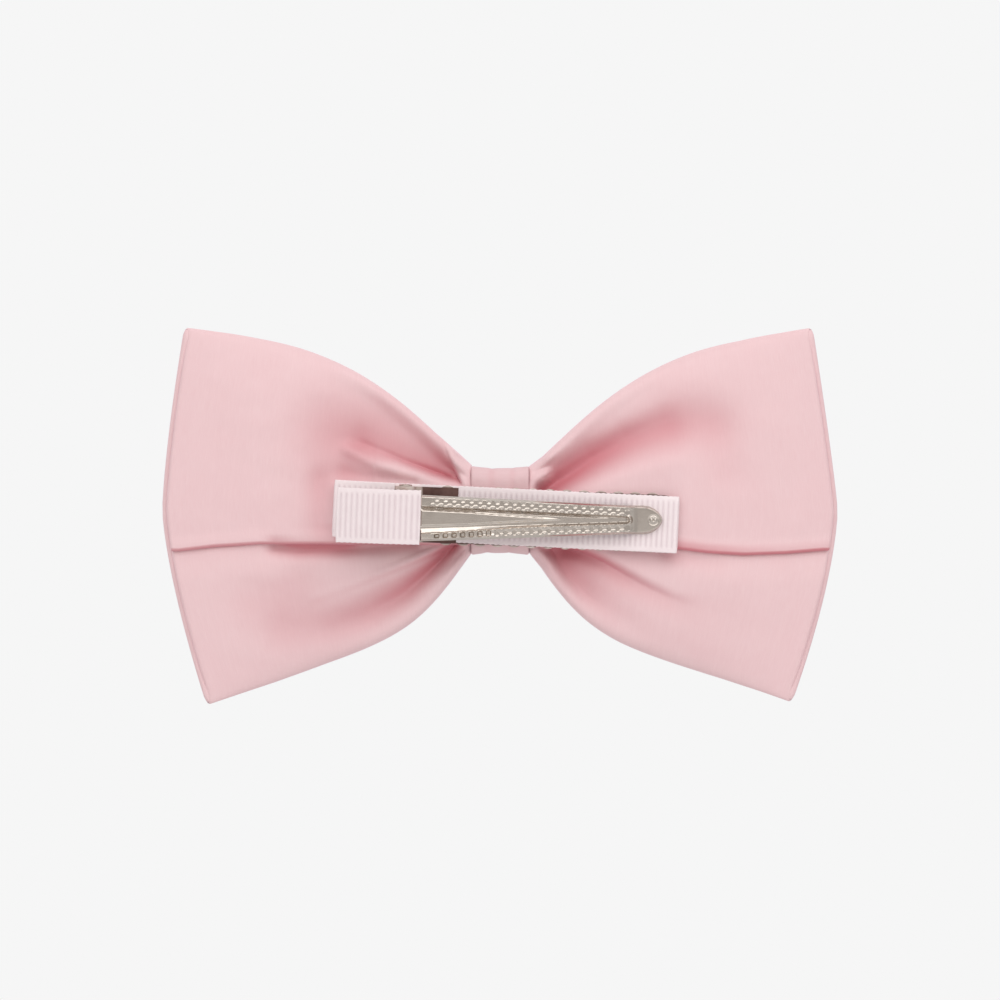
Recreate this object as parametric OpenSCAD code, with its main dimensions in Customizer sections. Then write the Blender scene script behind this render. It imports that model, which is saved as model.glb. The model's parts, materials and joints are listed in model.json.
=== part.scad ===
// Satin hair bow on a ribbon-covered alligator clip, all sizes in millimetres.
// +X runs across the bow, +Z is up as worn, and +Y faces away from the head.
// The origin is on the lined grip face of the lower jaw, under the bow's middle.

/* [Bow] */
// Width of the bow between its outer folds
bow_w = 110.8; // [90:0.2:140]
// Height of the top corners above the bow's centre
wing_rise = 29.8; // [22:0.2:38]
// Depth of the bottom corners below the bow's centre
wing_drop = 31.6; // [22:0.2:40]
// How far the top corners stand in from the outer fold's furthest point
top_corner_in = 3.6; // [1:0.2:6]
// How far the bottom corners stand in from the outer fold's furthest point
bottom_corner_in = 7.2; // [2:0.2:10]
// Greatest depth of a wing, front to back
wing_d = 11; // [8:0.2:14]
// Thickness of a wing at its outer fold
fold_t = 2.4; // [1.8:0.1:4]
// Thickness of the folded satin wall
satin_t = 0.8; // [0.4:0.05:1.1]
// Thickness of the stiffener sheet inside a wing
stiffener_t = 0.4; // [0.2:0.05:0.8]
// Height of the bow's centre above the grip's centreline
bow_lift = 0.96; // [-2:0.02:2]

/* [Knot] */
// Width of the knot band, along the bow
knot_w = 9.5; // [7:0.1:14]
// Height of the knot band
knot_h = 14.6; // [11:0.1:20]
// Depth of the knot band, front to back
knot_d = 11.2; // [9:0.1:15]
// Thickness of the knot band's folded satin
knot_t = 0.8; // [0.5:0.05:1.2]
// Outer corner radius of the knot band
knot_r = 2.5; // [1.5:0.1:3.5]
// Thickness of the gathering thread
thread_d = 0.3; // [0.2:0.05:0.5]
// Turns of gathering thread round the waist
thread_turns = 5; // [3:1:7]
// Stitches that close the knot band at the back
stitch_count = 5; // [3:1:7]
// Length of one closing stitch
stitch_l = 1.2; // [0.8:0.1:1.6]

/* [Ribbon] */
// Width of the grosgrain ribbon
ribbon_w = 9.5; // [8:0.1:12]
// Thickness of the grosgrain ribbon
ribbon_t = 0.35; // [0.2:0.05:0.6]
// Where the liner ribbon starts on the grip face, measured from the bow's centre
liner_start = -7; // [-11:0.5:5]
// Length of the ribbon's short return under the thumb tab
rear_return = 6.9; // [3:0.1:8]
// Side offset of the thumb ribbon on its tab
thumb_shift = -0.3; // [-0.4:0.05:0.4]
// Thickness of the glue pad between clip and knot
glue_t = 0.5; // [0.3:0.05:1]

/* [Clip] */
// Lean of the clip across the bow, in degrees
clip_lean = 2.8; // [-6:0.1:6]
// Skew of the metal inside its ribbon, in degrees
metal_skew = 0.8; // [-0.9:0.1:0.9]
// Thickness of the clip's sheet steel
sheet_t = 0.6; // [0.4:0.05:0.8]
// Length of the lower jaw from the bow's centre to its front end
jaw_front = 28.85; // [24:0.05:36]
// Length of the lower jaw from the bow's centre to its rear end
jaw_rear = 26.95; // [24:0.05:30]
// Width of the lower jaw's plate
jaw_w = 9.1; // [8:0.1:11]
// Reach of the scalloped edge beyond the plate
scallop_out = 0.35; // [0.1:0.05:0.6]
// Spacing of the scallops
scallop_pitch = 2.8; // [2:0.1:4]
// Distance of the pivot behind the bow's centre
pivot_back = 15.6; // [13:0.1:17]
// Height of the pivot above the grip face
pivot_h = 3.5; // [3:0.1:4.5]
// Radius of the pivot pin
pin_r = 0.75; // [0.5:0.05:0.9]
// Radial running clearance of the pin in the upper jaw
pin_gap = 0.05; // [0.02:0.01:0.1]
// Thickness and overhang of the pin's riveted heads
pin_head = 0.35; // [0.2:0.05:0.5]
// Radius of the ears round the pin
ear_r = 1.6; // [1.4:0.1:1.8]
// Side clearance between upper and lower ears
ear_gap = 0.1; // [0.05:0.01:0.2]
// Highest point of the thumb tab above the grip face
tab_h = 9.3; // [7.5:0.1:10.5]
// Distance of the upper jaw's tip from the bow's centre
tip_front = 26.6; // [22:0.1:28]
// Width of the upper jaw just in front of the pivot
jaw_root_w = 7.1; // [6:0.1:8]
// Width of the upper jaw at its tip plate
jaw_tip_w = 4.3; // [3.5:0.1:6]
// Skew of the upper jaw's front in plan, in degrees
jaw_skew = 1.5; // [-2:0.1:2]
// Side offset of the upper jaw's front
jaw_shift = -0.4; // [-0.5:0.05:0.5]
// Gap left between tip and liner when shut
tip_gap = 0.1; // [0.05:0.01:0.3]
// Width of one toothed rail
rail_w = 1.65; // [1.2:0.05:1.8]
// Spacing of the teeth on the rails
tooth_pitch = 1.43; // [1:0.01:2]
// Height of a tooth above the sheet
tooth_h = 0.5; // [0.3:0.05:0.8]
// Wire thickness of the torsion spring
wire_d = 0.55; // [0.4:0.05:0.6]
// Whole turns of the torsion spring
spring_turns = 5; // [3:1:7]

/* [Hidden] */

round_fn = 64;
fit_gap = 0.05;          // clearance between neighbouring soft pieces
end_gap = 0.1;           // clearance between the metal's ends and its ribbon
wing_gap = 0.3;          // clearance between the wings and the clip's ribbon

// depth positions along +Y, counted from the grip face
jaw_y = ribbon_t;
ribbon_back_y = ribbon_t + sheet_t + ribbon_t;
knot_back_y = ribbon_back_y + glue_t;
knot_mid_y = knot_back_y + knot_d / 2;
wing_back_y = ribbon_back_y + wing_gap;
wing_mid_y = wing_back_y + wing_d / 2;
fold_mid_y = wing_back_y + wing_d * 0.38;

// gathered waist inside the thread and the knot band
pinch = knot_t + thread_d + 3 * fit_gap;
waist_h = knot_h - 2 * pinch;
waist_d = knot_d - 2 * pinch;
wing_root = knot_w / 2 + end_gap;
full_depth_at = 0.25;    // share of a wing's length where it is deepest
ring_points = 24;
wing_stations = [0.015, 0.05, 0.1, 0.17, 0.25, 0.38, 0.52, 0.66, 0.8, 0.92, 1];
pocket_stations = [0.14, 0.2, 0.3, 0.42, 0.55, 0.68, 0.8, 0.9, 0.95];
sheet_stations = [0.16, 0.25, 0.36, 0.48, 0.6, 0.72, 0.84, 0.93, 0.975];
sheet_edge_in = 2.5;     // how far the stiffener stays inside the wing's edges

// clip: heights are above the grip face, lengths from the bow's centre
skew_at = 10;            // where the skewed metal crosses its ribbon's centreline
plateau_top = pivot_h + ear_r + 0.5;
plateau_rear = pivot_back + ear_r + 0.3;
plateau_front = pivot_back - ear_r - 1;
tab_end = jaw_rear - 0.05;
tip_flat = tip_front - 5.6;
tip_top = tip_gap + sheet_t;
slope_end_top = tip_top + 0.6;
lower_ear_out = jaw_w / 2;
lower_ear_in = lower_ear_out - sheet_t;
upper_ear_out = lower_ear_in - ear_gap;
upper_ear_in = upper_ear_out - sheet_t;
upper_ear_r = ear_r - 0.1;
coil_r = pin_r + 0.1 + wire_d / 2;
coil_pitch = wire_d * 1.1;
coil_half = spring_turns * coil_pitch / 2;
thumb_front = plateau_front;
thumb_return = 4.4;      // length of the thumb ribbon under its tab

// ---------- helper shapes and functions ----------

function blend(a, b, f) = a + (b - a) * f;
function smooth(f) = f * f * (3 - 2 * f);
function tanh(v) = (exp(2 * v) - 1) / (exp(2 * v) + 1);
function signed_pow(v, p) = sign(v) * pow(abs(v), p);

// gathered flare of a wing's edge: quick near the knot, then easing outwards
function flare(s, quick, share) = share * tanh(quick * s) / tanh(quick) + (1 - share) * s;
function edge_up(s) = blend(knot_h / 2, wing_rise, flare(s, 1.9, 1));
function edge_down(s) = blend(knot_h / 2 - 0.3, wing_drop, flare(s, 4.6, 0.45));
function inner_share(s) = smooth(min(1, s / full_depth_at));
function outer_share(s) = max(0, (s - full_depth_at) / (1 - full_depth_at));
function half_depth(s) = s < full_depth_at
    ? blend(waist_d / 2, wing_d / 2, inner_share(s))
    : blend(wing_d / 2, fold_t / 2, pow(outer_share(s), 2.2));
function mid_depth(s) = s < full_depth_at
    ? blend(knot_mid_y, wing_mid_y, inner_share(s))
    : blend(wing_mid_y, fold_mid_y, pow(outer_share(s), 2));
function corner_in(t) = (t > 0 ? top_corner_in : bottom_corner_in) * pow(abs(t), 1.4);
function fold_x(t) = bow_w / 2 - corner_in(t);

// a point on a wing's skin at share s of its length and angle a round its section
function wing_point(side, s, a, half, inset) =
    let (
        edge = cos(a) > 0 ? edge_up(s) : edge_down(s),
        t = cos(a) * (1 - inset / edge),
        x = side * (wing_root + s * (fold_x(t) - wing_root))
    )
    [x, mid_depth(s) + half * signed_pow(sin(a), 0.8), bow_lift + t * edge];

function wing_ring(side, s, half, inset) =
    [for (j = [0 : ring_points - 1]) wing_point(side, s, 360 * j / ring_points, half, inset)];

function waist_ring(x) = [
    for (j = [0 : ring_points - 1])
        let (a = 360 * j / ring_points)
        [
            x,
            knot_mid_y + waist_d / 2 * signed_pow(sin(a), 0.8),
            bow_lift + waist_h / 2 * cos(a)
        ]
];

// closed skin over a row of rings that run towards +X, each from its top by the front
module loft(rings) {
    n = len(rings[0]);
    last = len(rings) - 1;
    points = [for (ring = rings) for (p = ring) p];
    walls = [
        for (i = [0 : last - 1]) for (j = [0 : n - 1])
            let (k = (j + 1) % n, a = i * n, b = (i + 1) * n)
            each [[a + j, a + k, b + k], [a + j, b + k, b + j]]
    ];
    ends = [
        for (e = [[0, true], [last * n, false]]) for (j = [0 : n / 2 - 1])
            let (
                far = (n - j) % n,
                strip = [[j + 1, j, far], [j + 1, far, n - j - 1]]
            )
            each [
                for (f = strip)
                    if (f[0] != f[1] && f[1] != f[2] && f[0] != f[2])
                        e[1] ? [for (v = f) v + e[0]] : [for (v = [f[2], f[1], f[0]]) v + e[0]]
            ]
    ];
    polyhedron(points = points, faces = concat(walls, ends), convexity = 8);
}

// rings of one wing, ordered towards +X on either side
function wing_rings(side, stations, wall, inset) =
    let (n = len(stations))
    [
        for (i = [0 : n - 1])
            let (s = stations[side > 0 ? i : n - 1 - i])
            wing_ring(side, s, half_depth(s) - wall, inset)
    ];

// rectangle with round corners, drawn exactly
module rounded_rect(w, h, r) {
    square([w - 2 * r, h], center = true);
    square([w, h - 2 * r], center = true);
    for (sx = [-1, 1]) {
        for (sy = [-1, 1]) {
            translate([sx * (w / 2 - r), sy * (h / 2 - r)])
                circle(r, $fn = round_fn);
        }
    }
}

// band round the waist: a flat ring in the YZ plane, drawn from x to x + w
module waist_band(x, w, h, d, t, r) {
    translate([x, knot_mid_y, bow_lift])
        rotate([90, 0, 90])
            linear_extrude(w)
                difference() {
                    rounded_rect(d, h, r);
                    rounded_rect(d - 2 * t, h - 2 * t, r - t);
                }
}

// children drawn with X along the clip, Y across it and Z off the grip face
module on_clip() {
    rotate([0, clip_lean, 0])
        rotate([90, 0, 0])
            children();
}

// the same for the metal, which sits slightly skewed in its ribbon
module on_metal() {
    on_clip()
        translate([skew_at, 0, 0])
            rotate([0, 0, metal_skew])
                translate([-skew_at, 0, 0])
                    children();
}

// a side view [along, height] given a width across the clip
module across(w) {
    translate([0, w / 2, 0])
        rotate([90, 0, 0])
            linear_extrude(w)
                children();
}

// a pair of upright ears round the pin, between the two distances across
module ears(inner, outer, r, bottom, top) {
    for (side = [-1, 1]) {
        translate([-pivot_back, side * (inner + outer) / 2, 0]) {
            translate([0, 0, pivot_h])
                rotate([90, 0, 0])
                    cylinder(h = outer - inner, r = r, center = true, $fn = round_fn);
            translate([-r, -(outer - inner) / 2, bottom])
                cube([2 * r, outer - inner, top - bottom]);
        }
    }
}

module pin_bore(r) {
    translate([-pivot_back, 0, pivot_h])
        rotate([90, 0, 0])
            cylinder(h = 3 * jaw_w, r = r, center = true, $fn = round_fn);
}

// top line of the upper jaw's sheet, from the thumb tab's end to the tip
TAB = [-tab_end, tab_h];
HEEL = [-plateau_rear, plateau_top];
BROW = [-plateau_front, plateau_top];
SLOPE = [tip_flat, slope_end_top];
FLAT = [tip_flat + 1.2, tip_top];
TIP = [tip_front, tip_top];
function line_height(p, q, u) = blend(p[1], q[1], (u - p[0]) / (q[0] - p[0]));
function lifted(points, dv) = [for (p = points) [p[0], p[1] + dv]];
function reversed(points) = [for (i = [len(points) - 1 : -1 : 0]) points[i]];
function half_width(u) =
    blend(jaw_root_w, jaw_tip_w, (u + plateau_front) / (tip_flat + plateau_front)) / 2;

// ---------- bow ----------

module satin_bow() {
    color("pink")
        difference() {
            loft(concat(
                wing_rings(-1, wing_stations, 0, 0),
                [waist_ring(-wing_root), waist_ring(wing_root)],
                wing_rings(1, wing_stations, 0, 0)
            ));
            for (side = [-1, 1])
                loft(wing_rings(side, pocket_stations, satin_t, satin_t));
        }
}

module stiffener(side) {
    n = len(sheet_stations);
    color("whitesmoke")
        loft([
            for (i = [0 : n - 1])
                wing_ring(side, sheet_stations[side > 0 ? i : n - 1 - i], stiffener_t / 2, sheet_edge_in)
        ]);
}

module left_stiffener() {
    stiffener(-1);
}

module right_stiffener() {
    stiffener(1);
}

module gather_thread() {
    spacing = thread_d * 1.6;
    color("lightpink")
        for (i = [0 : thread_turns - 1])
            waist_band(
                (i - (thread_turns - 1) / 2) * spacing - thread_d / 2,
                thread_d,
                waist_h + 2 * fit_gap + 2 * thread_d,
                waist_d + 2 * fit_gap + 2 * thread_d,
                thread_d,
                knot_r - knot_t
            );
}

module knot_band() {
    color("pink")
        waist_band(-knot_w / 2, knot_w, knot_h, knot_d, knot_t, knot_r);
}

// a column of short stitches beside the glue pad, lying on the knot's back
module knot_stitches() {
    r = thread_d / 2;
    step = ribbon_w * 0.6 / (stitch_count - 1);
    color("lightpink")
        for (i = [0 : stitch_count - 1])
            translate([knot_w / 2 - 0.3 - stitch_l / 2, knot_back_y - r, (i - (stitch_count - 1) / 2) * step]) {
                rotate([0, 90, 0])
                    cylinder(h = stitch_l - 2 * r, r = r, center = true, $fn = 24);
                for (side = [-1, 1])
                    translate([side * (stitch_l / 2 - r), 0, 0])
                        sphere(r = r, $fn = 24);
            }
}

module glue_pad() {
    pad_w = knot_w - 2 * (stitch_l + 0.5);
    pad_h = ribbon_w * 0.75;
    color("ivory")
        translate([-pad_w / 2, ribbon_back_y, -pad_h / 2])
            cube([pad_w, glue_t, pad_h]);
}

// ---------- clip ----------

module lower_jaw_plan() {
    r = scallop_pitch / 2;
    nose = 2;
    scallops = floor((jaw_front - 2 * nose + pivot_back - 4) / scallop_pitch);
    translate([-jaw_rear + nose, -jaw_w / 2])
        square([jaw_front + jaw_rear - 2 * nose, jaw_w]);
    for (u = [-jaw_rear + nose, jaw_front - nose]) {
        translate([u - nose, -jaw_w / 2 + nose])
            square([2 * nose, jaw_w - 2 * nose]);
        for (side = [-1, 1])
            translate([u, side * (jaw_w / 2 - nose)])
                circle(nose, $fn = round_fn);
    }
    for (i = [0 : scallops - 1]) {
        for (side = [-1, 1])
            translate([jaw_front - 2 * nose - i * scallop_pitch, side * (jaw_w / 2 + scallop_out - r)])
                circle(r, $fn = round_fn);
    }
}

module lower_jaw() {
    color("silver")
        on_metal()
            difference() {
                union() {
                    translate([0, 0, -jaw_y - sheet_t])
                        linear_extrude(sheet_t)
                            lower_jaw_plan();
                    ears(lower_ear_in, lower_ear_out, ear_r, -jaw_y - sheet_t / 2, pivot_h);
                }
                pin_bore(pin_r);
            }
}

// one ribbon: outside of the jaw, round its front end and along the grip face,
// and round its rear end for a short return
module lower_jaw_ribbon() {
    front = jaw_front + end_gap;
    rear = -jaw_rear - end_gap;
    back = -ribbon_t - sheet_t;
    color("mistyrose")
        on_clip()
            across(ribbon_w)
                polygon([
                    [rear - ribbon_t, 0],
                    [rear + rear_return, 0],
                    [rear + rear_return, -ribbon_t],
                    [rear, -ribbon_t],
                    [rear, back],
                    [front, back],
                    [front, -ribbon_t],
                    [liner_start, -ribbon_t],
                    [liner_start, 0],
                    [front + ribbon_t, 0],
                    [front + ribbon_t, back - ribbon_t],
                    [rear - ribbon_t, back - ribbon_t]
                ]);
}

// outline of the upper jaw seen from above
module upper_jaw_plan() {
    nose = 1.9;
    w0 = half_width(-plateau_front + 1);
    w1 = half_width(tip_flat);
    heel_w = upper_ear_out;
    translate([-tab_end, -heel_w])
        square([tab_end - plateau_front, 2 * heel_w]);
    jaw_front_frame()
        polygon([
            [-plateau_front - 1, -w0],
            [-plateau_front + 1, -w0],
            [tip_flat, -w1],
            [tip_front - nose, -w1],
            [tip_front, -0.5],
            [tip_front, 0.5],
            [tip_front - nose, w1],
            [tip_flat, w1],
            [-plateau_front + 1, w0],
            [-plateau_front - 1, w0]
        ]);
}

module jaw_front_frame() {
    translate([-pivot_back, jaw_shift])
        rotate(jaw_skew)
            translate([pivot_back, 0])
                children();
}

// saw-edged strip that stands on the sloping sheet
module rail_profile() {
    start = -plateau_front + 1.5;
    teeth = floor((tip_flat - 0.5 - start) / tooth_pitch);
    root_h = tooth_h * 0.45;
    ridge = [
        for (i = [0 : teeth - 1])
            let (u = start + i * tooth_pitch)
            each [
                [u, line_height(BROW, SLOPE, u) + root_h],
                [u + tooth_pitch * 0.2, line_height(BROW, SLOPE, u) + tooth_h],
                [u + tooth_pitch * 0.6, line_height(BROW, SLOPE, u) + tooth_h],
                [u + tooth_pitch * 0.8, line_height(BROW, SLOPE, u) + root_h]
            ]
    ];
    last = start + teeth * tooth_pitch;
    sink = sheet_t / 2;
    polygon(concat(
        [[start, line_height(BROW, SLOPE, start) - sink]],
        ridge,
        [
            [last, line_height(BROW, SLOPE, last) + root_h],
            [last, line_height(BROW, SLOPE, last) - sink]
        ]
    ));
}

module rail_plan() {
    rim = 0.15;
    for (side = [-1, 1])
        jaw_front_frame()
            polygon([
                for (c = [[-plateau_front, rim], [tip_flat, rim], [tip_flat, rim + rail_w],
                          [-plateau_front, rim + rail_w]])
                    [c[0], side * (half_width(c[0]) - c[1])]
            ]);
}

module upper_jaw() {
    top = [TAB, HEEL, BROW, SLOPE, FLAT, TIP];
    tall = tab_h + 1;
    color("silver")
        on_metal()
            difference() {
                union() {
                    intersection() {
                        across(2 * jaw_w)
                            polygon(concat(top, reversed(lifted(top, -sheet_t))));
                        linear_extrude(tall)
                            upper_jaw_plan();
                    }
                    intersection() {
                        across(2 * jaw_w)
                            rail_profile();
                        linear_extrude(tall)
                            rail_plan();
                    }
                    ears(upper_ear_in, upper_ear_out, upper_ear_r, pivot_h, plateau_top - sheet_t / 2);
                }
                pin_bore(pin_r + pin_gap);
                jaw_front_dimple();
            }
}

module jaw_front_dimple() {
    translate([-pivot_back, jaw_shift, 0])
        rotate([0, 0, jaw_skew])
            translate([pivot_back + tip_front - 2, 0, tip_top - 0.15])
                cylinder(h = 1, r = 0.65, $fn = round_fn);
}

// ribbon over the thumb tab, round its rear end and a little way back underneath
module thumb_ribbon() {
    under = -tab_end + thumb_return;
    rise = (TAB[1] - HEEL[1]) / (HEEL[0] - TAB[0]);
    turn = [TAB[0] - end_gap, TAB[1] + end_gap * rise];
    outer_turn = [turn[0] - ribbon_t, turn[1] + ribbon_t * rise];
    under_top = [under, line_height(TAB, HEEL, under) - sheet_t];
    color("mistyrose")
        on_metal()
            translate([0, thumb_shift, 0])
                across(ribbon_w)
                    polygon([
                        [-thumb_front, plateau_top],
                        [-thumb_front, plateau_top + ribbon_t],
                        [HEEL[0], HEEL[1] + ribbon_t],
                        [outer_turn[0], outer_turn[1] + ribbon_t],
                        [outer_turn[0], outer_turn[1] - sheet_t - ribbon_t],
                        [under_top[0], under_top[1] - ribbon_t],
                        under_top,
                        [turn[0], turn[1] - sheet_t],
                        turn,
                        HEEL
                    ]);
}

module pivot_pin() {
    shank = 2 * lower_ear_out;
    color("lightgrey")
        on_metal()
            translate([-pivot_back, 0, pivot_h])
                rotate([90, 0, 0]) {
                    cylinder(h = shank, r = pin_r, center = true, $fn = round_fn);
                    for (side = [-1, 1])
                        translate([0, 0, side * (shank + pin_head) / 2])
                            cylinder(h = pin_head, r = pin_r + pin_head, center = true, $fn = round_fn);
                }
}

// centreline of the spring: base leg, coil, tab leg
function coil_point(f) =
    let (a = -90 - 360 * (spring_turns + 0.5) * f)
    [
        -pivot_back + coil_r * cos(a),
        -coil_half + 2 * coil_half * f,
        pivot_h + coil_r * sin(a)
    ];

function wire_ring(p, along, sides) =
    let (
        d = along / norm(along),
        ref = abs(d[1]) > 0.9 ? [1, 0, 0] : [0, 1, 0],
        e = cross(d, ref) / norm(cross(d, ref)),
        f = cross(d, e)
    )
    [for (j = [0 : sides - 1]) let (a = 360 * j / sides) p + wire_d / 2 * (e * cos(a) + f * sin(a))];

module torsion_spring() {
    sides = 8;
    steps = 16 * spring_turns;
    under = sheet_t + wire_d * 0.7;
    tab_leg_u = -tab_end + thumb_return + 0.5;
    base_leg = [-pivot_back - 4.5, -coil_half, -ribbon_t + wire_d * 0.6];
    knee = [HEEL[0], coil_half, HEEL[1] - under];
    tab_leg = [tab_leg_u, coil_half, line_height(TAB, HEEL, tab_leg_u) - under];
    line = concat([base_leg], [for (i = [0 : steps]) coil_point(i / steps)], [knee, tab_leg]);
    last = len(line) - 1;
    rings = [
        for (i = [0 : last])
            wire_ring(line[i], line[min(last, i + 1)] - line[max(0, i - 1)], sides)
    ];
    color("grey")
        on_metal()
            polyhedron(
                points = [for (ring = rings) for (p = ring) p],
                faces = concat(
                    [
                        for (i = [0 : last - 1]) for (j = [0 : sides - 1])
                            let (k = (j + 1) % sides, a = i * sides, b = (i + 1) * sides)
                            each [[a + j, a + k, b + k], [a + j, b + k, b + j]]
                    ],
                    [[for (j = [sides - 1 : -1 : 0]) j], [for (j = [0 : sides - 1]) last * sides + j]]
                ),
                convexity = 10
            );
}

satin_bow();
left_stiffener();
right_stiffener();
gather_thread();
knot_band();
knot_stitches();
glue_pad();
lower_jaw();
lower_jaw_ribbon();
upper_jaw();
thumb_ribbon();
pivot_pin();
torsion_spring();
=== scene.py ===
"""Satin hair bow on a ribbon-covered alligator clip: the finished look of every piece.

Lengths in this script are millimetres until a mesh is made, when they become metres.
The clip has its own directions: u along the jaws towards the tips, w across them, v off the
grip face.
"""

import json
import math

import bmesh
import bpy
import numpy as np
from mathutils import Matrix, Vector


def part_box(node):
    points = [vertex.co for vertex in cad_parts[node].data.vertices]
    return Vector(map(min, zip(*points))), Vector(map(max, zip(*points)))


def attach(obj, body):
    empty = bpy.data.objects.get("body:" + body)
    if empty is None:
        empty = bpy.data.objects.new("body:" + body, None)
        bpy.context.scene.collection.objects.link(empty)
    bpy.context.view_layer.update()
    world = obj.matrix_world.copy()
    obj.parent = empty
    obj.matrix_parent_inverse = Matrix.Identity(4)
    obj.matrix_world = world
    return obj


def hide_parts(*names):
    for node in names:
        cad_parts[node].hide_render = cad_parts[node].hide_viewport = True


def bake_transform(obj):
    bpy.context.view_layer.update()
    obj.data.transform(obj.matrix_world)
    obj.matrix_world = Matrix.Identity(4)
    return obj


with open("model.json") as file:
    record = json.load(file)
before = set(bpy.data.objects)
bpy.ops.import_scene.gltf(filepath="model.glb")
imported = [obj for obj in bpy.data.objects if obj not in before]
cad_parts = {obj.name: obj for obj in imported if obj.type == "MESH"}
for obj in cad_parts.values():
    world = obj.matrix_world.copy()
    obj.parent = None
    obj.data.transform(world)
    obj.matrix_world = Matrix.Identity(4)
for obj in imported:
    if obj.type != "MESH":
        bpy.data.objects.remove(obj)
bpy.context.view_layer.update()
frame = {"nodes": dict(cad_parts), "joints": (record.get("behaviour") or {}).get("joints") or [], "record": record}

MM = 0.001
ROOT = "bow_and_lower_jaw"
JAW = "upper_jaw"


# ---- places taken from the frame

def box_mm(node):
    low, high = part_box(node)
    return np.array(low) / MM, np.array(high) / MM


MOUNTS = {m["name"]: m for m in frame["record"]["mounts"]}
HINGE = next(j for j in frame["joints"] if j["name"] == "jaw_hinge")
BOW_LO, BOW_HI = box_mm("satin_bow")
KNOT_LO, KNOT_HI = box_mm("knot_band")

LIFT = (KNOT_LO[2] + KNOT_HI[2]) / 2      # height of the bow's centre
OUT = np.array([0.0, -1.0, 0.0])          # off the grip face, towards the head
ALONG = np.array(MOUNTS["hair_grip"]["axis"], float)
ACROSS = np.cross(OUT, ALONG)
METAL_ACROSS = -np.array(HINGE["axis"], float)
METAL_ALONG = np.cross(METAL_ACROSS, OUT)
PIVOT = np.array(HINGE["pos_m"], float) / MM

PIVOT_U = -15.6                           # pivot along the clip
PIVOT_V = 3.5                             # pivot above the grip face
SHEET = 0.6                               # steel thickness
RIBBON_T = 0.35
RIBBON_W = 9.5
RIBBON_SEEN_W = 9.28                      # as it lies, with its selvedges drawn in by the fold
METAL_ORIGIN = PIVOT - PIVOT_U * METAL_ALONG - PIVOT_V * OUT


def on_ribbon(u, w, v):
    """Clip coordinates of the ribbon to the frame's, in millimetres."""
    u, w, v = np.broadcast_arrays(u, w, v)
    return u[..., None] * ALONG + w[..., None] * ACROSS + v[..., None] * OUT


def on_metal(u, w, v):
    """The same for the metal, which sits slightly skewed in its ribbon."""
    u, w, v = np.broadcast_arrays(u, w, v)
    level = METAL_ORIGIN + u[..., None] * METAL_ALONG
    return level + w[..., None] * METAL_ACROSS + v[..., None] * OUT


# ---- small maths

def mix(a, b, f):
    return a + (b - a) * f


def smooth(f):
    f = np.clip(f, 0, 1)
    return f * f * (3 - 2 * f)


def ramp(x, x0, x1):
    """0 before x0, 1 after x1, smooth between them."""
    return smooth((x - x0) / (x1 - x0))


def ripple(x, y, seed, size, octaves=3):
    """Soft uneven surface: sines in seeded directions, about -1 to 1."""
    rng = np.random.default_rng(seed)
    total = np.zeros(np.broadcast(x, y).shape)
    weight = 0.0
    for k in range(octaves):
        for _ in range(4):
            turn = rng.uniform(0, 2 * math.pi)
            phase = rng.uniform(0, 2 * math.pi)
            wave = size / 1.9**k * rng.uniform(0.8, 1.3)
            way = x * math.cos(turn) + y * math.sin(turn)
            total = total + np.sin(way * 2 * math.pi / wave + phase) / 1.7**k
        weight += 2.2 / 1.7**k
    return total / weight


def walked(points):
    """Distance from the first point to each one, along the line through them."""
    return np.concatenate([[0], np.cumsum(np.linalg.norm(np.diff(points, axis=0), axis=1))])


def way_of(points):
    """Unit direction of a line at each of its points."""
    way = np.gradient(points, axis=0)
    return way / np.linalg.norm(way, axis=1)[:, None]


def left_of(way):
    """Directions in the plane, turned a quarter to the left."""
    return np.stack([-way[:, 1], way[:, 0]], 1)


def along_path(x, z, path):
    """Distance to a line of points, its side (+ on the left of the way it runs), and the share
    of its length."""
    pts = np.array(path, float)
    steps = np.linalg.norm(np.diff(pts, axis=0), axis=1)
    start = np.concatenate([[0], np.cumsum(steps)])
    best = np.full(x.shape, 1e9)
    share = np.zeros(x.shape)
    side = np.ones(x.shape)
    for i, length in enumerate(steps):
        d = (pts[i + 1] - pts[i]) / length
        rx, rz = x - pts[i, 0], z - pts[i, 1]
        f = np.clip(rx * d[0] + rz * d[1], 0, length)
        gx, gz = rx - f * d[0], rz - f * d[1]
        gap = np.hypot(gx, gz)
        near = gap < best
        best = np.where(near, gap, best)
        share = np.where(near, (start[i] + f) / start[-1], share)
        side = np.where(near, np.sign(d[0] * rz - d[1] * rx), side)
    return best, side, share


def groove(x, z, path, width, depth, lean=1.0):
    """Soft groove (or ridge, with a negative depth) along a path; width and depth are
    (start, end), and lean makes its left side that many times as wide as its right side."""
    gap, side, share = along_path(x, z, path)
    leaning = np.where(side > 0, mix(lean, 1.0, ramp(share, 0.6, 1.0)), 1.0)
    w = mix(width[0], width[1], share) * leaning
    return mix(depth[0], depth[1], smooth(share)) * np.exp(-((gap / w) ** 2))


# ---- mesh helpers

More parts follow.
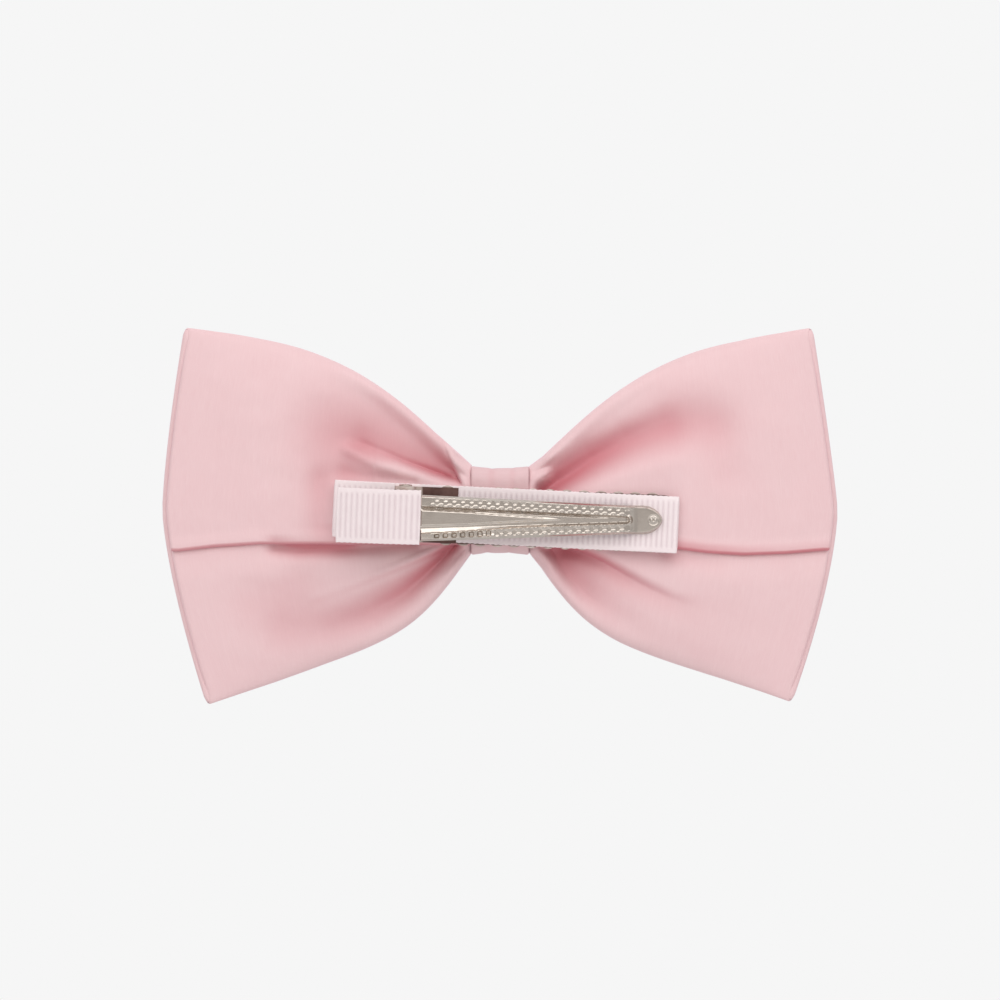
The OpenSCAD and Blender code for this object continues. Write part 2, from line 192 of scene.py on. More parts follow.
def mesh_object(name, verts_mm, faces, uv=None, attributes=None, smooth_shade=True):
    """A mesh object at the origin; uv and attributes are per vertex."""
    mesh = bpy.data.meshes.new(name)
    verts = (np.asarray(verts_mm, float) * MM).tolist()
    mesh.from_pydata(verts, [], [tuple(int(i) for i in f) for f in faces])
    mesh.update()
    if uv is not None:
        layer = mesh.uv_layers.new(name="cloth")
        index = np.zeros(len(mesh.loops), np.int32)
        mesh.loops.foreach_get("vertex_index", index)
        layer.data.foreach_set("uv", np.asarray(uv, np.float32)[index].ravel())
    for key, values in (attributes or {}).items():
        layer = mesh.attributes.new(key, "FLOAT", "POINT")
        layer.data.foreach_set("value", np.asarray(values, np.float32).ravel())
    obj = bpy.data.objects.new(name, mesh)
    bpy.context.scene.collection.objects.link(obj)
    if smooth_shade:
        shade_smooth(obj)
    return obj


def shade_smooth(obj):
    obj.data.polygons.foreach_set("use_smooth", np.ones(len(obj.data.polygons), bool))


def grid_faces(rows, cols, close_rows=False, close_cols=False, offset=0, flip=False):
    """Quads of a grid of rows x cols points, optionally joined end to end."""
    i = np.arange(rows if close_rows else rows - 1)
    j = np.arange(cols if close_cols else cols - 1)
    a, b = np.meshgrid(i, j, indexing="ij")
    a2, b2 = (a + 1) % rows, (b + 1) % cols
    quad = np.stack([a * cols + b, a2 * cols + b, a2 * cols + b2, a * cols + b2], -1).reshape(-1, 4)
    return (quad[:, ::-1] if flip else quad) + offset


def tube_faces(rows, cols, flip=False):
    """A closed tube of rows rings of cols points, with a flat cap on each end."""
    first, last = list(range(cols)), list(range((rows - 1) * cols, rows * cols))
    caps = [first, last[::-1]] if flip else [first[::-1], last]
    return list(grid_faces(rows, cols, close_cols=True, flip=flip)) + caps


def grid_uv(along_mm, across_mm):
    """UV in metres for a grid of points, from its distances along and across."""
    return np.stack(np.broadcast_arrays(along_mm, across_mm), -1).reshape(-1, 2) * MM


def applied(obj):
    """The object with its modifiers baked into a plain mesh."""
    deps = bpy.context.evaluated_depsgraph_get()
    final = obj.evaluated_get(deps)
    mesh = bpy.data.meshes.new_from_object(final, preserve_all_data_layers=True, depsgraph=deps)
    obj.modifiers.clear()
    obj.data = mesh
    return obj


def with_wall(obj, thickness_mm):
    """Gives a single-sheet mesh a wall on its inner side, closed round the rim."""
    m = obj.modifiers.new("wall", "SOLIDIFY")
    m.thickness = thickness_mm * MM
    m.offset = -1.0
    m.use_even_offset = False
    m.use_rim = True
    return applied(obj)


def joined(name, parts):
    """Several meshes made one, without an operator."""
    verts, faces, start = [], [], 0
    for v, f in parts:
        verts.append(np.asarray(v, float).reshape(-1, 3))
        faces += [[int(i) + start for i in face] for face in f]
        start += len(verts[-1])
    return mesh_object(name, np.vstack(verts), faces)


# ---- node helpers

def new_material(name, **sockets):
    """A material with one Principled shader whose own sockets hold the fixed values."""
    mat = bpy.data.materials.new(name)
    mat.use_nodes = True
    shader = mat.node_tree.nodes["Principled BSDF"]
    for key, value in sockets.items():
        shader.inputs[key.replace("_", " ")].default_value = value
    return mat, mat.node_tree, shader


def node(tree, kind, values=None, **props):
    n = tree.nodes.new(kind)
    for key, value in props.items():
        setattr(n, key, value)
    for key, value in (values or {}).items():
        n.inputs[key].default_value = value
    return n


def link(tree, a, b):
    tree.links.new(a, b)


def coords(tree, kind, scale):
    """Object coordinates, or the piece's own UV map, through a Mapping node."""
    place = node(tree, "ShaderNodeMapping", {"Scale": scale})
    if kind == "Object":
        link(tree, node(tree, "ShaderNodeTexCoord").outputs["Object"], place.inputs["Vector"])
    else:
        link(tree, node(tree, "ShaderNodeUVMap", uv_map=kind).outputs["UV"], place.inputs["Vector"])
    return place.outputs["Vector"]


def noise(tree, vector, scale, detail=3.0, rough=0.5):
    n = node(tree, "ShaderNodeTexNoise", {"Scale": scale, "Detail": detail, "Roughness": rough})
    link(tree, vector, n.inputs["Vector"])
    return n.outputs["Fac"]


def span(tree, value, low, high, to_low=0.0, to_high=1.0):
    """The value's range from low to high, spread over another range and held at its ends."""
    limits = {"From Min": low, "From Max": high, "To Min": to_low, "To Max": to_high}
    m = node(tree, "ShaderNodeMapRange", limits)
    link(tree, value, m.inputs["Value"])
    return m.outputs["Result"]


def maths(tree, op, a, b=None, c=None):
    n = node(tree, "ShaderNodeMath", operation=op)
    for i, x in enumerate((a, b, c)):
        if x is None:
            continue
        if isinstance(x, (int, float)):
            n.inputs[i].default_value = x
        else:
            link(tree, x, n.inputs[i])
    return n.outputs[0]


def tint(tree, factor, a, b):
    """Colour between a and b; each is a colour or a socket."""
    n = node(tree, "ShaderNodeMix", data_type="RGBA")
    for i, x in ((6, a), (7, b)):
        if isinstance(x, tuple):
            n.inputs[i].default_value = (*x, 1)
        else:
            link(tree, x, n.inputs[i])
    if isinstance(factor, (int, float)):
        n.inputs[0].default_value = factor
    else:
        link(tree, factor, n.inputs[0])
    return n.outputs[2]


def bump(tree, height, strength, distance_mm, under=None):
    n = node(tree, "ShaderNodeBump", {"Strength": strength, "Distance": distance_mm * MM})
    link(tree, height, n.inputs["Height"])
    if under is not None:
        link(tree, under, n.inputs["Normal"])
    return n.outputs["Normal"]


def srgb(r, g, b):
    """Screen colour, 0 to 255, as the linear colour that a shader takes."""
    shares = (c / 255 for c in (r, g, b))
    return tuple(c / 12.92 if c <= 0.0404 else ((c + 0.055) / 1.055) ** 2.4 for c in shares)


def colour(tree, shader, pattern, light, deep, low=0.35):
    """Base colour that drifts with a pattern from one screen colour to a deeper one."""
    drift = tint(tree, span(tree, pattern, low, 0.7), srgb(*light), srgb(*deep))
    link(tree, drift, shader.inputs["Base Color"])


def surface(tree, shader, height, strength, distance_mm, under=None):
    """Fine relief of the finish, over another one where under is given."""
    link(tree, bump(tree, height, strength, distance_mm, under), shader.inputs["Normal"])


def dulled(tree, shader, pattern, low, high, smooth_end, rough_end):
    """Roughness that varies with a pattern."""
    link(tree, span(tree, pattern, low, high, smooth_end, rough_end), shader.inputs["Roughness"])


# ---- materials

def satin_material(name="pink satin", shade=1.0):
    """Dusty pink satin: long floats along the cloth, soft sheen, and a deeper pink painted as shade where the mesh
    marks folds, the clip's shadow and down-facing cloth; a shade below 1 makes a darker copy painted as satin in
    shade.
    """
    mat, t, s = new_material(name, Roughness=0.46, Specular_IOR_Level=0.45, Sheen_Weight=0.65,
                             Sheen_Roughness=0.25, Anisotropic=0.4)
    s.inputs["Sheen Tint"].default_value = (*srgb(246, 213, 236), 1)
    s.inputs["Specular Tint"].default_value = (*srgb(255, 226, 228), 1)
    floats = noise(t, coords(t, "cloth", (6500, 500, 1)), 1.0, 2.0)
    slubs = noise(t, coords(t, "cloth", (1500, 70, 1)), 1.0, 3.0)
    cloudy = noise(t, coords(t, "cloth", (1, 1, 1)), 130, 3.0)
    fold = node(t, "ShaderNodeAttribute", attribute_name="painted_fold_shade").outputs["Fac"]
    light = tuple(c * shade for c in srgb(230, 198, 200))
    body = tint(t, span(t, cloudy, 0.3, 0.7, 0.0, 0.22), light, srgb(226, 187, 190))
    body = tint(t, span(t, slubs, 0.45, 0.75, 0.0, 0.18), body, srgb(238, 208, 209))
    body = tint(t, span(t, floats, 0.3, 0.7, 0.0, 0.22), body, srgb(222, 178, 182))
    # painted shade: deep pink laid over the cloth where the mesh marks folds, the lap, the clip's shadow and cloth
    # facing down
    link(t, tint(t, fold, body, srgb(202, 122, 130)), s.inputs["Base Color"])
    dulled(t, s, slubs, 0.3, 0.7, 0.44, 0.56)
    surface(t, s, slubs, 0.18, 0.08, bump(t, floats, 0.25, 0.05))
    thread_way = node(t, "ShaderNodeTangent", direction_type="UV_MAP", uv_map="cloth")
    link(t, thread_way.outputs[0], s.inputs["Tangent"])
    return mat


def grosgrain_material(name="pale grosgrain", shade=1.0):
    """Pale pink ribbon: fine warp ends over each rib, smoother selvedges, rib hollows painted darker as shade and
    rib crowns lighter.
    """
    mat, t, s = new_material(name, Roughness=0.72, Specular_IOR_Level=0.3, Sheen_Weight=0.3,
                             Sheen_Roughness=0.5)
    warp = noise(t, coords(t, "cloth", (700, 7000, 1)), 1.0, 2.0)
    cloudy = noise(t, coords(t, "cloth", (1, 1, 1)), 350, 2.0)
    rib = node(t, "ShaderNodeAttribute", attribute_name="rib").outputs["Fac"]
    # painted shade: rib hollows a darker pink, rib crowns and selvedges lighter; shade below 1 darkens the whole
    # ribbon as a copy in shade
    hollow, crown = (tuple(c * shade for c in srgb(*tone)) for tone in ((219, 202, 205), (241, 227, 228)))
    body = tint(t, rib, hollow, crown)
    body = tint(t, span(t, warp, 0.35, 0.7, 0.0, 0.25), body, srgb(226, 206, 209))
    body = tint(t, span(t, cloudy, 0.35, 0.7, 0.0, 0.18), body, srgb(243, 232, 233))
    link(t, body, s.inputs["Base Color"])
    dulled(t, s, warp, 0.3, 0.7, 0.62, 0.8)
    surface(t, s, warp, 0.3, 0.04)
    return mat


def nickel_material():
    """Bright nickel on stamped steel: rolling lines, faint handling scuffs, duller patches."""
    rough = 0.17
    mat, t, s = new_material("nickel plate", Metallic=1.0, Roughness=rough, Anisotropic=0.3)
    rolled = noise(t, coords(t, "Object", (500, 3000, 6000)), 1.0, 2.0)
    patch = noise(t, coords(t, "Object", (1, 1, 1)), 420, 4.0)
    scuff = noise(t, coords(t, "Object", (1, 1, 1)), 2600, 5.0, 0.7)
    bright = srgb(201, 191, 182)
    dull, scuffed = (tuple(c * share for c in bright) for share in (0.86, 0.8))
    warm = tint(t, span(t, patch, 0.4, 0.75), bright, dull)
    link(t, tint(t, span(t, scuff, 0.55, 0.8, 0.0, 0.4), warm, scuffed), s.inputs["Base Color"])
    cloudy = span(t, patch, 0.3, 0.75, rough - 0.06, rough + 0.1)
    link(t, maths(t, "ADD", cloudy, span(t, scuff, 0.5, 0.8, 0, 0.08)), s.inputs["Roughness"])
    surface(t, s, scuff, 0.1, 0.02, bump(t, rolled, 0.08, 0.02))
    return mat


def lower_jaw_material():
    """Dull steel with its inside face painted dark brown as the shade under the upper jaw; bright nickel along the
    rolled edges and behind the pin.
    """
    mat, t, s = new_material("lower jaw shaded inside", Metallic=0.7, Roughness=0.5, Anisotropic=0.2)
    patch = noise(t, coords(t, "Object", (1, 1, 1)), 500, 4.0)
    lines = noise(t, coords(t, "Object", (700, 4000, 4000)), 1.0, 2.0)
    place = node(t, "ShaderNodeTexCoord").outputs["Object"]
    side = node(t, "ShaderNodeVectorMath", {1: tuple(METAL_ACROSS)}, operation="DOT_PRODUCT")
    link(t, place, side.inputs[0])
    along = node(t, "ShaderNodeSeparateXYZ")
    link(t, place, along.inputs[0])
    off_middle = maths(t, "SUBTRACT", side.outputs["Value"], float(METAL_ORIGIN @ METAL_ACROSS) * MM)
    outer = span(t, maths(t, "ABSOLUTE", off_middle), 4.55 * MM, 4.75 * MM)
    behind_pin = span(t, along.outputs["X"], -12.6 * MM, -12.9 * MM)
    worn = span(t, patch, 0.35, 0.7)
    # painted shade: the inside face is a dark brown standing for the shade under the upper jaw
    inside = tint(t, worn, srgb(114, 86, 80), srgb(90, 65, 60))
    rim = tint(t, worn, srgb(222, 210, 202), srgb(186, 164, 156))
    link(t, tint(t, maths(t, "MAXIMUM", outer, behind_pin), inside, rim), s.inputs["Base Color"])
    dulled(t, s, patch, 0.3, 0.7, 0.4, 0.6)
    surface(t, s, lines, 0.15, 0.02)
    return mat


def spring_material():
    """Drawn spring wire, darker than the plated sheet, with draw lines along it."""
    mat, t, s = new_material("spring wire", Metallic=1.0, Roughness=0.3)
    draw = noise(t, coords(t, "cloth", (300, 5000, 1)), 1.0, 3.0)
    colour(t, s, draw, (168, 163, 155), (128, 123, 116))
    dulled(t, s, draw, 0.3, 0.7, 0.24, 0.42)
    surface(t, s, draw, 0.15, 0.02)
    return mat


def thread_material():
    """Twisted polyester thread, a shade deeper than the satin."""
    mat, t, s = new_material("sewing thread", Roughness=0.6, Sheen_Weight=0.3)
    twist = noise(t, coords(t, "Object", (4000, 4000, 9000)), 1.0, 2.0)
    colour(t, s, twist, (226, 168, 173), (205, 140, 148))
    surface(t, s, twist, 0.5, 0.06)
    return mat


def glue_material():
    """Set hot glue: cloudy, slightly yellow, uneven."""
    mat, t, s = new_material("hot glue", Roughness=0.38, Subsurface_Weight=0.2)
    lump = noise(t, coords(t, "Object", (1, 1, 1)), 900, 3.0)
    colour(t, s, lump, (233, 226, 204), (219, 209, 182))
    surface(t, s, lump, 0.4, 0.1)
    return mat


def interfacing_material():
    """Non-woven stiffener: short pressed fibres."""
    mat, t, s = new_material("interfacing", Roughness=0.85)
    fibre = noise(t, coords(t, "Object", (1500, 1500, 5000)), 1.0, 5.0, 0.7)
    colour(t, s, fibre, (242, 240, 236), (218, 215, 210), low=0.3)
    surface(t, s, fibre, 0.4, 0.05)
    return mat


# ---- the satin bow

HALF_W = (BOW_HI[0] - BOW_LO[0]) / 2
RISE = BOW_HI[2] - LIFT
DROP = LIFT - BOW_LO[2]
KNOT_HALF_H = (KNOT_HI[2] - KNOT_LO[2]) / 2
KNOT_HALF_W = (KNOT_HI[0] - KNOT_LO[0]) / 2
KNOT_MID_Y = (KNOT_LO[1] + KNOT_HI[1]) / 2
WAIST_H = KNOT_HALF_H - 0.95
WAIST_D = (KNOT_HI[1] - KNOT_LO[1]) / 2 - 0.95
WING_D = (BOW_HI[1] - BOW_LO[1]) / 2
WING_Y = (BOW_HI[1] + BOW_LO[1]) / 2
ROOT_X = KNOT_HALF_W + 0.1
FOLD_Y = BOW_LO[1] + WING_D * 0.8         # depth of the outer fold
FOLD_HALF = 1.05                          # half the thickness there
DEEPEST = 0.25
HEM_R = 0.36                              # radius of a turned edge
CLOTH_T = 0.28
FRONT_STANDS_OUT = 0.75                   # the front layer reaches past the back one
CLIP_FALL = 0.049                         # fall of the clip per millimetre towards its tips

# where each wing's outline is drawn in from its even curve, by share of its length; -1 is the left
TOP_AT = [0, 0.05, 0.13, 0.25, 0.4, 0.6, 0.75, 0.9, 1]
TOP_DRAWN_IN = {-1: [0, 0.1, 0.3, 0.1, 0, 0.05, 0.2, 0.15, 0],
                1: [0.3, 0.85, 0.85, 0.7, 0.6, 0.5, 0.6, 0.35, 0.05]}
BOTTOM_AT = [0, 0.05, 0.12, 0.22, 0.35, 0.55, 0.75, 0.9, 1]
BOTTOM_DRAWN_IN = {-1: [0.2, 0.4, 0.5, 0.5, 0.55, 0.5, 0.2, 0.1, 0],
                   1: [0.4, 0.9, 0.85, 0.65, 0.5, 0.55, 0.65, 0.6, 0.45]}


def flare(s, quick, share):
    """Opening of a wing from 0 at the knot to 1: a quick part, and the rest at an even rate."""
    return share * np.tanh(quick * s) / math.tanh(quick) + (1 - share) * s


def edge_up(s, side):
    """Height of a wing's top edge over the bow's centreline, at share s of its length."""
    return mix(KNOT_HALF_H, RISE, flare(s, 1.9, 1.0)) - np.interp(s, TOP_AT, TOP_DRAWN_IN[side])


def edge_down(s, side):
    """Depth of a wing's bottom edge below the bow's centreline."""
    drop = mix(KNOT_HALF_H - 0.3, DROP, flare(s, 4.6, 0.45))
    return drop - np.interp(s, BOTTOM_AT, BOTTOM_DRAWN_IN[side])


def half_depth(s):
    """Half a wing's thickness, front to back."""
    near = mix(WING_D - 0.25, WING_D, smooth(s / 0.05))
    q = np.clip((s - DEEPEST) / (1 - DEEPEST), 0, 1)
    return np.where(s < DEEPEST, near, mix(WING_D, FOLD_HALF, q**1.9))


def mid_depth(s):
    """Depth of a wing's middle, halfway between its front and its back."""
    near = mix(KNOT_MID_Y, WING_Y, smooth(s / DEEPEST))
    q = np.clip((s - DEEPEST) / (1 - DEEPEST), 0, 1)
    return np.where(s < DEEPEST, near, mix(WING_Y, FOLD_Y, q**2))


def fold_x(t, side):
    """Where the outer fold lies at share t of the height, from bottom (-1) to top (1)."""
    top, bottom = ((4.1, 1.15), (7.4, 1.5)) if side > 0 else ((3.6, 1.4), (7.2, 1.4))
    inset = np.where(t > 0, top[0] * np.abs(t) ** top[1], bottom[0] * np.abs(t) ** bottom[1])
    return HALF_W - inset - HEM_R


def seam_height(x):
    """Height of the lapped seam over the bow's centreline, by place along the bow."""
    left = np.interp(-x, [0, 20, 30, 40, 48, 54], [-5.1, -5.0, -4.9, -4.9, -5.4, -6.1])
    right = np.interp(x, [0, 22, 29, 35, 41, 48, 54], [-5.1, -5.0, -5.65, -6.4, -6.75, -6.5, -6.0])
    return np.where(x < 0, left, right)


# grooves in the cloth, (path, width, depth, lean): the path runs in (x, z) from the bow's centre,
# and a negative depth is a ridge
BACK_LEFT = [
    ([(-10, 9.4), (-14, 11.6), (-20, 13.8), (-26, 12.6)], (2.4, 6.8), (1.2, 1.6), 1.0),
    ([(-6.4, 5.0), (-10.9, 6.2), (-15.4, 7.9), (-19.0, 9.5), (-22.5, 10.9)], (2.9, 2.8), (2.7, 1.0), 0.3),
    ([(-8, 5.4), (-15.4, 8.0), (-19.0, 9.6), (-22.5, 11.0)], (0.5, 0.6), (0.5, 0.3), 1.0),
    ([(-10, 4.9), (-13.4, 5.9), (-16.7, 6.6), (-21.2, 8.2), (-25, 10.0)], (0.7, 1.0), (-0.3, -0.9), 1.0),
    ([(-14, 4.6), (-19, 5.0), (-25.3, 6.0)], (0.8, 1.8), (0.3, 1.0), 1.0),
    ([(-29.5, 5), (-29.4, -3)], (2.4, 2.4), (0.9, 0.7), 1.0),
    ([(-14, -5.4), (-21, -6.0), (-27, -6.4), (-33, -6.5), (-37, -6.0)], (1.2, 1.3), (0.9, 1.4), 1.0),
    ([(-8.4, -5.4), (-17.1, -9.3), (-23.9, -12.1), (-30.5, -14.4)], (0.4, 0.8), (-0.8, -0.1), 3.2),
    ([(-8.7, -6.1), (-17.1, -10.0), (-23.9, -12.8), (-29.8, -15.0)], (0.42, 0.7), (0.5, 0.06), 1.0),
    ([(-7.4, -5.7), (-10.8, -9.2), (-15.4, -13.4), (-21.0, -17.0), (-27, -19.1), (-35, -19.6)], (1.3, 3.9),
     (3.1, 1.0), 0.9),
    ([(-33, -12.5), (-40, -15.5)], (4.0, 4.0), (0.5, 0.4), 1.0),
]
BACK_RIGHT = [
    ([(9, 6.8), (14, 9.8), (20, 12.4), (27, 14.4), (34, 14.6)], (1.8, 4.6), (1.6, 0.9), 0.8),
    ([(6.8, 2.6), (10.4, 4.9), (15.5, 8.1), (21.2, 11.0), (27, 13.2)], (1.8, 3.8), (3.4, 1.3), 0.8),
    ([(30, 16.8), (36, 14), (37.6, 7)], (4.2, 4.0), (0.5, 0.4), 1.0),
    ([(8, 3.4), (15, 4.6), (21, 6.2), (29, 8.2)], (0.8, 1.6), (-0.15, -0.2), 1.0),
    ([(8.6, -6.4), (10.9, -9.9), (14.2, -13.5), (19, -16.8), (24, -18.8)], (1.4, 2.8), (3.0, 0.15), 2.2),
    ([(11.2, -5.8), (16.9, -8.3), (20.6, -10.5), (24.4, -12.7), (28.8, -14.9), (38, -18.4)], (1.7, 3.4),
     (1.9, 0.1), 0.32),
    ([(28, -7.2), (36, -8.8)], (1.5, 1.5), (0.5, 0.2), 1.0),
]
FRONT_FOLDS = [
    ([(5.6, 5.6), (11, 11.0), (18, 16.6), (27, 20)], (1.0, 3.4), (2.4, 0.7), 1.0),
    ([(5.6, 3.4), (12, 7.0), (20, 11.4), (30, 14)], (0.9, 2.6), (-1.1, -0.4), 1.0),
    ([(5.6, 1.6), (13, 3.6), (24, 5.4), (33, 6)], (0.8, 3.0), (2.2, 0.6), 1.0),
    ([(5.6, -0.6), (14, -0.8), (26, -2.0)], (0.8, 2.4), (-1.0, -0.4), 1.0),
    ([(5.6, -2.6), (13, -4.6), (23, -8.6), (32, -11)], (0.8, 3.0), (2.3, 0.6), 1.0),
    ([(5.6, -4.6), (12, -9.0), (20, -14.6), (28, -18)], (0.9, 2.8), (-0.9, -0.4), 1.0),
    ([(5.6, -6.2), (10, -11.6), (15, -17.0), (22, -21)], (0.9, 2.4), (1.8, 0.6), 1.0),
]


def grooves(x, z, strokes):
    """Sum of the strokes, and the part of it that goes inwards, which is also the painted shade of the folds."""
    total = np.zeros(x.shape)
    shade_paint = np.zeros(x.shape)
    for path, width, depth, lean in strokes:
        g = groove(x, z, path, width, depth, lean)
        total += g
        shade_paint += np.maximum(g, 0)
    return total, shade_paint


def fold_edge(x, z, side):
    """0 on the small tab of cloth that folds over beside the knot, 1 past its crisp edge."""
    if side > 0:
        return np.ones(x.shape)
    edge_x = np.interp(z, [3.4, 4.75, 9.8, 12], [-5.9, -6.3, -8.5, -9.3])
    return 1 - ramp(x, edge_x - 0.25, edge_x + 0.3) * ramp(z, 1.0, 3.4)


def wing_skin(side, s, phi, front):
    """Points on a wing's skin, and the painted shade for them from the fold grooves and the clip's shadow; phi
    runs from 0 at the top fold to pi at the bottom fold."""
    t = np.cos(phi)
    edge = np.where(t > 0, edge_up(s, side), edge_down(s, side))
    stands_out = 0 if front else FRONT_STANDS_OUT * np.clip(np.sin(phi) * 3, 0, 1) ** 0.8
    x = side * (ROOT_X + s * (fold_x(t, side) - stands_out - ROOT_X))
    z = t * edge
    fullness = mix(0.4, 0.72, ramp(s, 0.0, 0.1 if front else 0.05))
    bulge = half_depth(s) * np.sin(phi) ** fullness
    fade = np.sin(phi) ** 0.6 * ramp(s, 0.0, 0.03) * (1 - ramp(s, 0.86, 1.0))
    if front:
        cut, shade_paint = grooves(np.abs(x), z, FRONT_FOLDS)
        tab, clip_shade = 1.0, 0.0
        wobble = 0.22 * ripple(x, z, 5 + side, 17) + 0.05 * ripple(x, z, 9, 6)
    else:
        cut, shade_paint = grooves(x, z, BACK_LEFT if side < 0 else BACK_RIGHT)
        tab, clip_shade = fold_edge(x, z, side), painted_clip_shadow(x, z)
        wobble = 0.16 * ripple(x, z, 3 + side, 19) + 0.04 * ripple(x, z, 12, 7)
    pleats = 0.35 * np.sin(phi * 15 + 1.3 * side + 2 * s) * np.exp(-((s - 0.045) / 0.05) ** 2)
    depth = np.minimum(cut, np.maximum(bulge - 1.2, 0.0)) * tab
    off_middle = bulge + (-depth + wobble + pleats) * fade
    y = mid_depth(s) + (off_middle if front else -off_middle) - rim_roll(s, t, edge, side)
    # the last value is painted shade, used only for the cloth's colour
    return x, y, z, (shade_paint * tab + clip_shade) * fade


def painted_clip_shadow(x, z):
    """Painted shadow of the clip: a deeper pink on the cloth just below it."""
    below = z + RIBBON_W / 2 + LIFT + CLIP_FALL * x
    near = np.exp(-((np.minimum(below, 0) / 2.4) ** 2)) * (below < 2)
    return 0.5 * near * (1 - ramp(np.abs(x), 26, 31))


def rim_roll(s, t, edge, side):
    """How far the folded top and bottom edges lean towards the head, near the knot."""
    from_edge = (1 - np.abs(t)) * edge
    upper = 2.4 if side < 0 else 2.1
    lean = np.where(t > 0, upper, 1.2) * ramp(s, 0.0, 0.08) * (1 - ramp(s, 0.2, 0.62))
    return lean * np.exp(-((from_edge / 2.4) ** 2))


def bow_ring(side, s, hem):
    """One section of the strip round the bow at share s of a wing, as points and their painted shade.
    hem is 0 on the wing, and runs to 1 round the turned edge at the outer fold."""
    up, down = float(edge_up(s, side)), float(edge_down(s, side))
    x_mid = side * (ROOT_X + s * (HALF_W - FRONT_STANDS_OUT - ROOT_X))
    seam = float(seam_height(np.array(x_mid)))

    def phi_at(z):
        return math.acos(max(-1, min(1, z / (up if z > 0 else down))))

    def stretch(phi, front):
        x, y, z, shade_paint = wing_skin(side, np.full(phi.shape, s), np.clip(phi, 1e-4, math.pi - 1e-4), front)
        return [x, y, z, shade_paint, phi, np.full(phi.shape, front)]

    hidden = phi_at(seam + min(4.0, 3.0 + 3 * s))
    lower = stretch(hidden + (math.pi - hidden) * np.linspace(0, 1, 72), False)
    front = stretch((math.pi * (1 - np.linspace(0, 1, 40)))[1:], True)
    upper = stretch((phi_at(seam) * np.linspace(0, 1, 84))[1:], False)
    lap_under(lower, seam, x_mid)
    lap_over(upper, seam, x_mid, s)
    parts = [lower, front, upper, turned_lap(upper, side)]
    x, y, z, shade_paint, phi, is_front = (np.concatenate([p[k] for p in parts]) for k in range(6))
    if hem > 0:
        x, y, z = turned_hem(x, y, z, phi, is_front, side, hem)
    return np.stack([x, y, z + LIFT], 1), shade_paint


def lap_under(flap, seam, x_mid):
    """The lower flap runs on inside, under the upper one, and takes painted shade along the lap and beside the
    clip's left end.
    """
    _, y, z, shade_paint = flap[:4]
    y += (0.7 + 0.55 * ramp(z, seam - 0.9, seam + 1.2)) * ramp(z, seam - 6.0, seam + 0.5)
    # painted shade along the lap, then beside the clip's left end
    shade_paint += 4.0 * ramp(z, seam - 0.6, seam - 0.1) * ramp(abs(x_mid), 8, 16)
    clip_end_shade = 2.3 * ramp(-x_mid, 22, 27) * (1 - ramp(-x_mid, 31, 39))
    shade_paint += clip_end_shade * np.exp(-((np.minimum(z - seam, 0) / 2.0) ** 2))


def lap_over(flap, seam, x_mid, s):
    """The upper flap's edge stands slightly off the lower one; right of the clip it takes painted shade just above
    its edge.
    """
    _, y, z, shade_paint = flap[:4]
    y -= 0.3 * ramp(-z, -(seam + 2.0), -seam) * ramp(np.array(s), 0.02, 0.2)
    # painted shade just above the upper flap's edge, right of the clip
    shaded = 1.8 * ramp(x_mid, 24, 30) * (1 - 0.65 * ramp(x_mid, 32, 50))
    shade_paint += shaded * (1 - ramp(z, seam, seam + 1.5))


def turned_lap(flap, side):
    """The upper flap's edge turned under, and the first of the cloth that runs back up inside."""
    x, y, z, _, phi, _ = (values[-1] for values in flap)
    turn = np.linspace(0, math.pi, 9)[1:]
    zz = np.concatenate([z - HEM_R * np.sin(turn), z + np.array([0.9, 1.9])])
    yy = np.concatenate([y + HEM_R * (1 - np.cos(turn)), np.full(2, y + 2 * HEM_R)])
    same = np.ones(zz.shape)
    # painted shade inside the turned edge
    return [x * same, yy, zz, (2.4 if side > 0 else 1.3) * same, phi * same, same < 0]


def turned_hem(x, y, z, phi, is_front, side, hem):
    """Carries a section round the turned edge at a wing's outer end, then inside it."""
    angle = min(hem, 0.8) / 0.8 * math.pi
    tuck_x = max(0.0, hem - 0.8) / 0.2 * 1.6
    open_there = np.sin(phi) * 4
    inside = np.where(is_front, -1.0, 1.0) * np.clip(open_there, 0, 1)
    y = y + inside * HEM_R * (1 - math.cos(angle))
    x = x + side * (HEM_R * math.sin(angle) * np.clip(open_there, 0.12, 1) - tuck_x)
    return x, y, z * (1 - 0.03 * tuck_x)


def waist_section(template, x):
    """The strip squeezed to the waist's section, point for point."""
    y0, z0 = template[:, 1], template[:, 2] - LIFT
    z = z0 / np.abs(z0).max() * WAIST_H
    y = KNOT_MID_Y + (y0 - KNOT_MID_Y) / np.abs(y0 - KNOT_MID_Y).max() * WAIST_D
    return np.stack([np.full(len(y), x), y, z + LIFT], 1)


def facing_down_shade(rings):
    """0 to 1, how far the outside of the cloth faces the floor, used as painted shade: cloth facing down is
    painted a deeper pink.
    """
    round_it = np.gradient(rings, axis=1)
    along_it = np.gradient(rings, axis=0)
    normal = np.cross(round_it, along_it)
    normal /= np.maximum(np.linalg.norm(normal, axis=2), 1e-9)[..., None]
    mid_y = (BOW_LO[1] + BOW_HI[1]) / 2
    outward = np.sign(np.sum(normal[..., 1] * (rings[..., 1] - mid_y)))
    height = rings[..., 2] - rings[..., 2].min(axis=1)[:, None]
    return np.clip(-normal[..., 2] * outward - 0.12, 0, 0.75) * ramp(height, 0.8, 5.0)


def wing_rings(side):
    """All the sections of one wing, from the knot outwards."""
    near_knot = np.concatenate([[0.0015], np.linspace(0.006, 0.34, 57)])
    shares = np.concatenate([near_knot, np.linspace(0.34, 1.0, 46)[1:]])
    hems = [0.12, 0.26, 0.4, 0.54, 0.68, 0.8, 1.0]
    return [bow_ring(side, s, 0.0) for s in shares] + [bow_ring(side, 1.0, h) for h in hems]


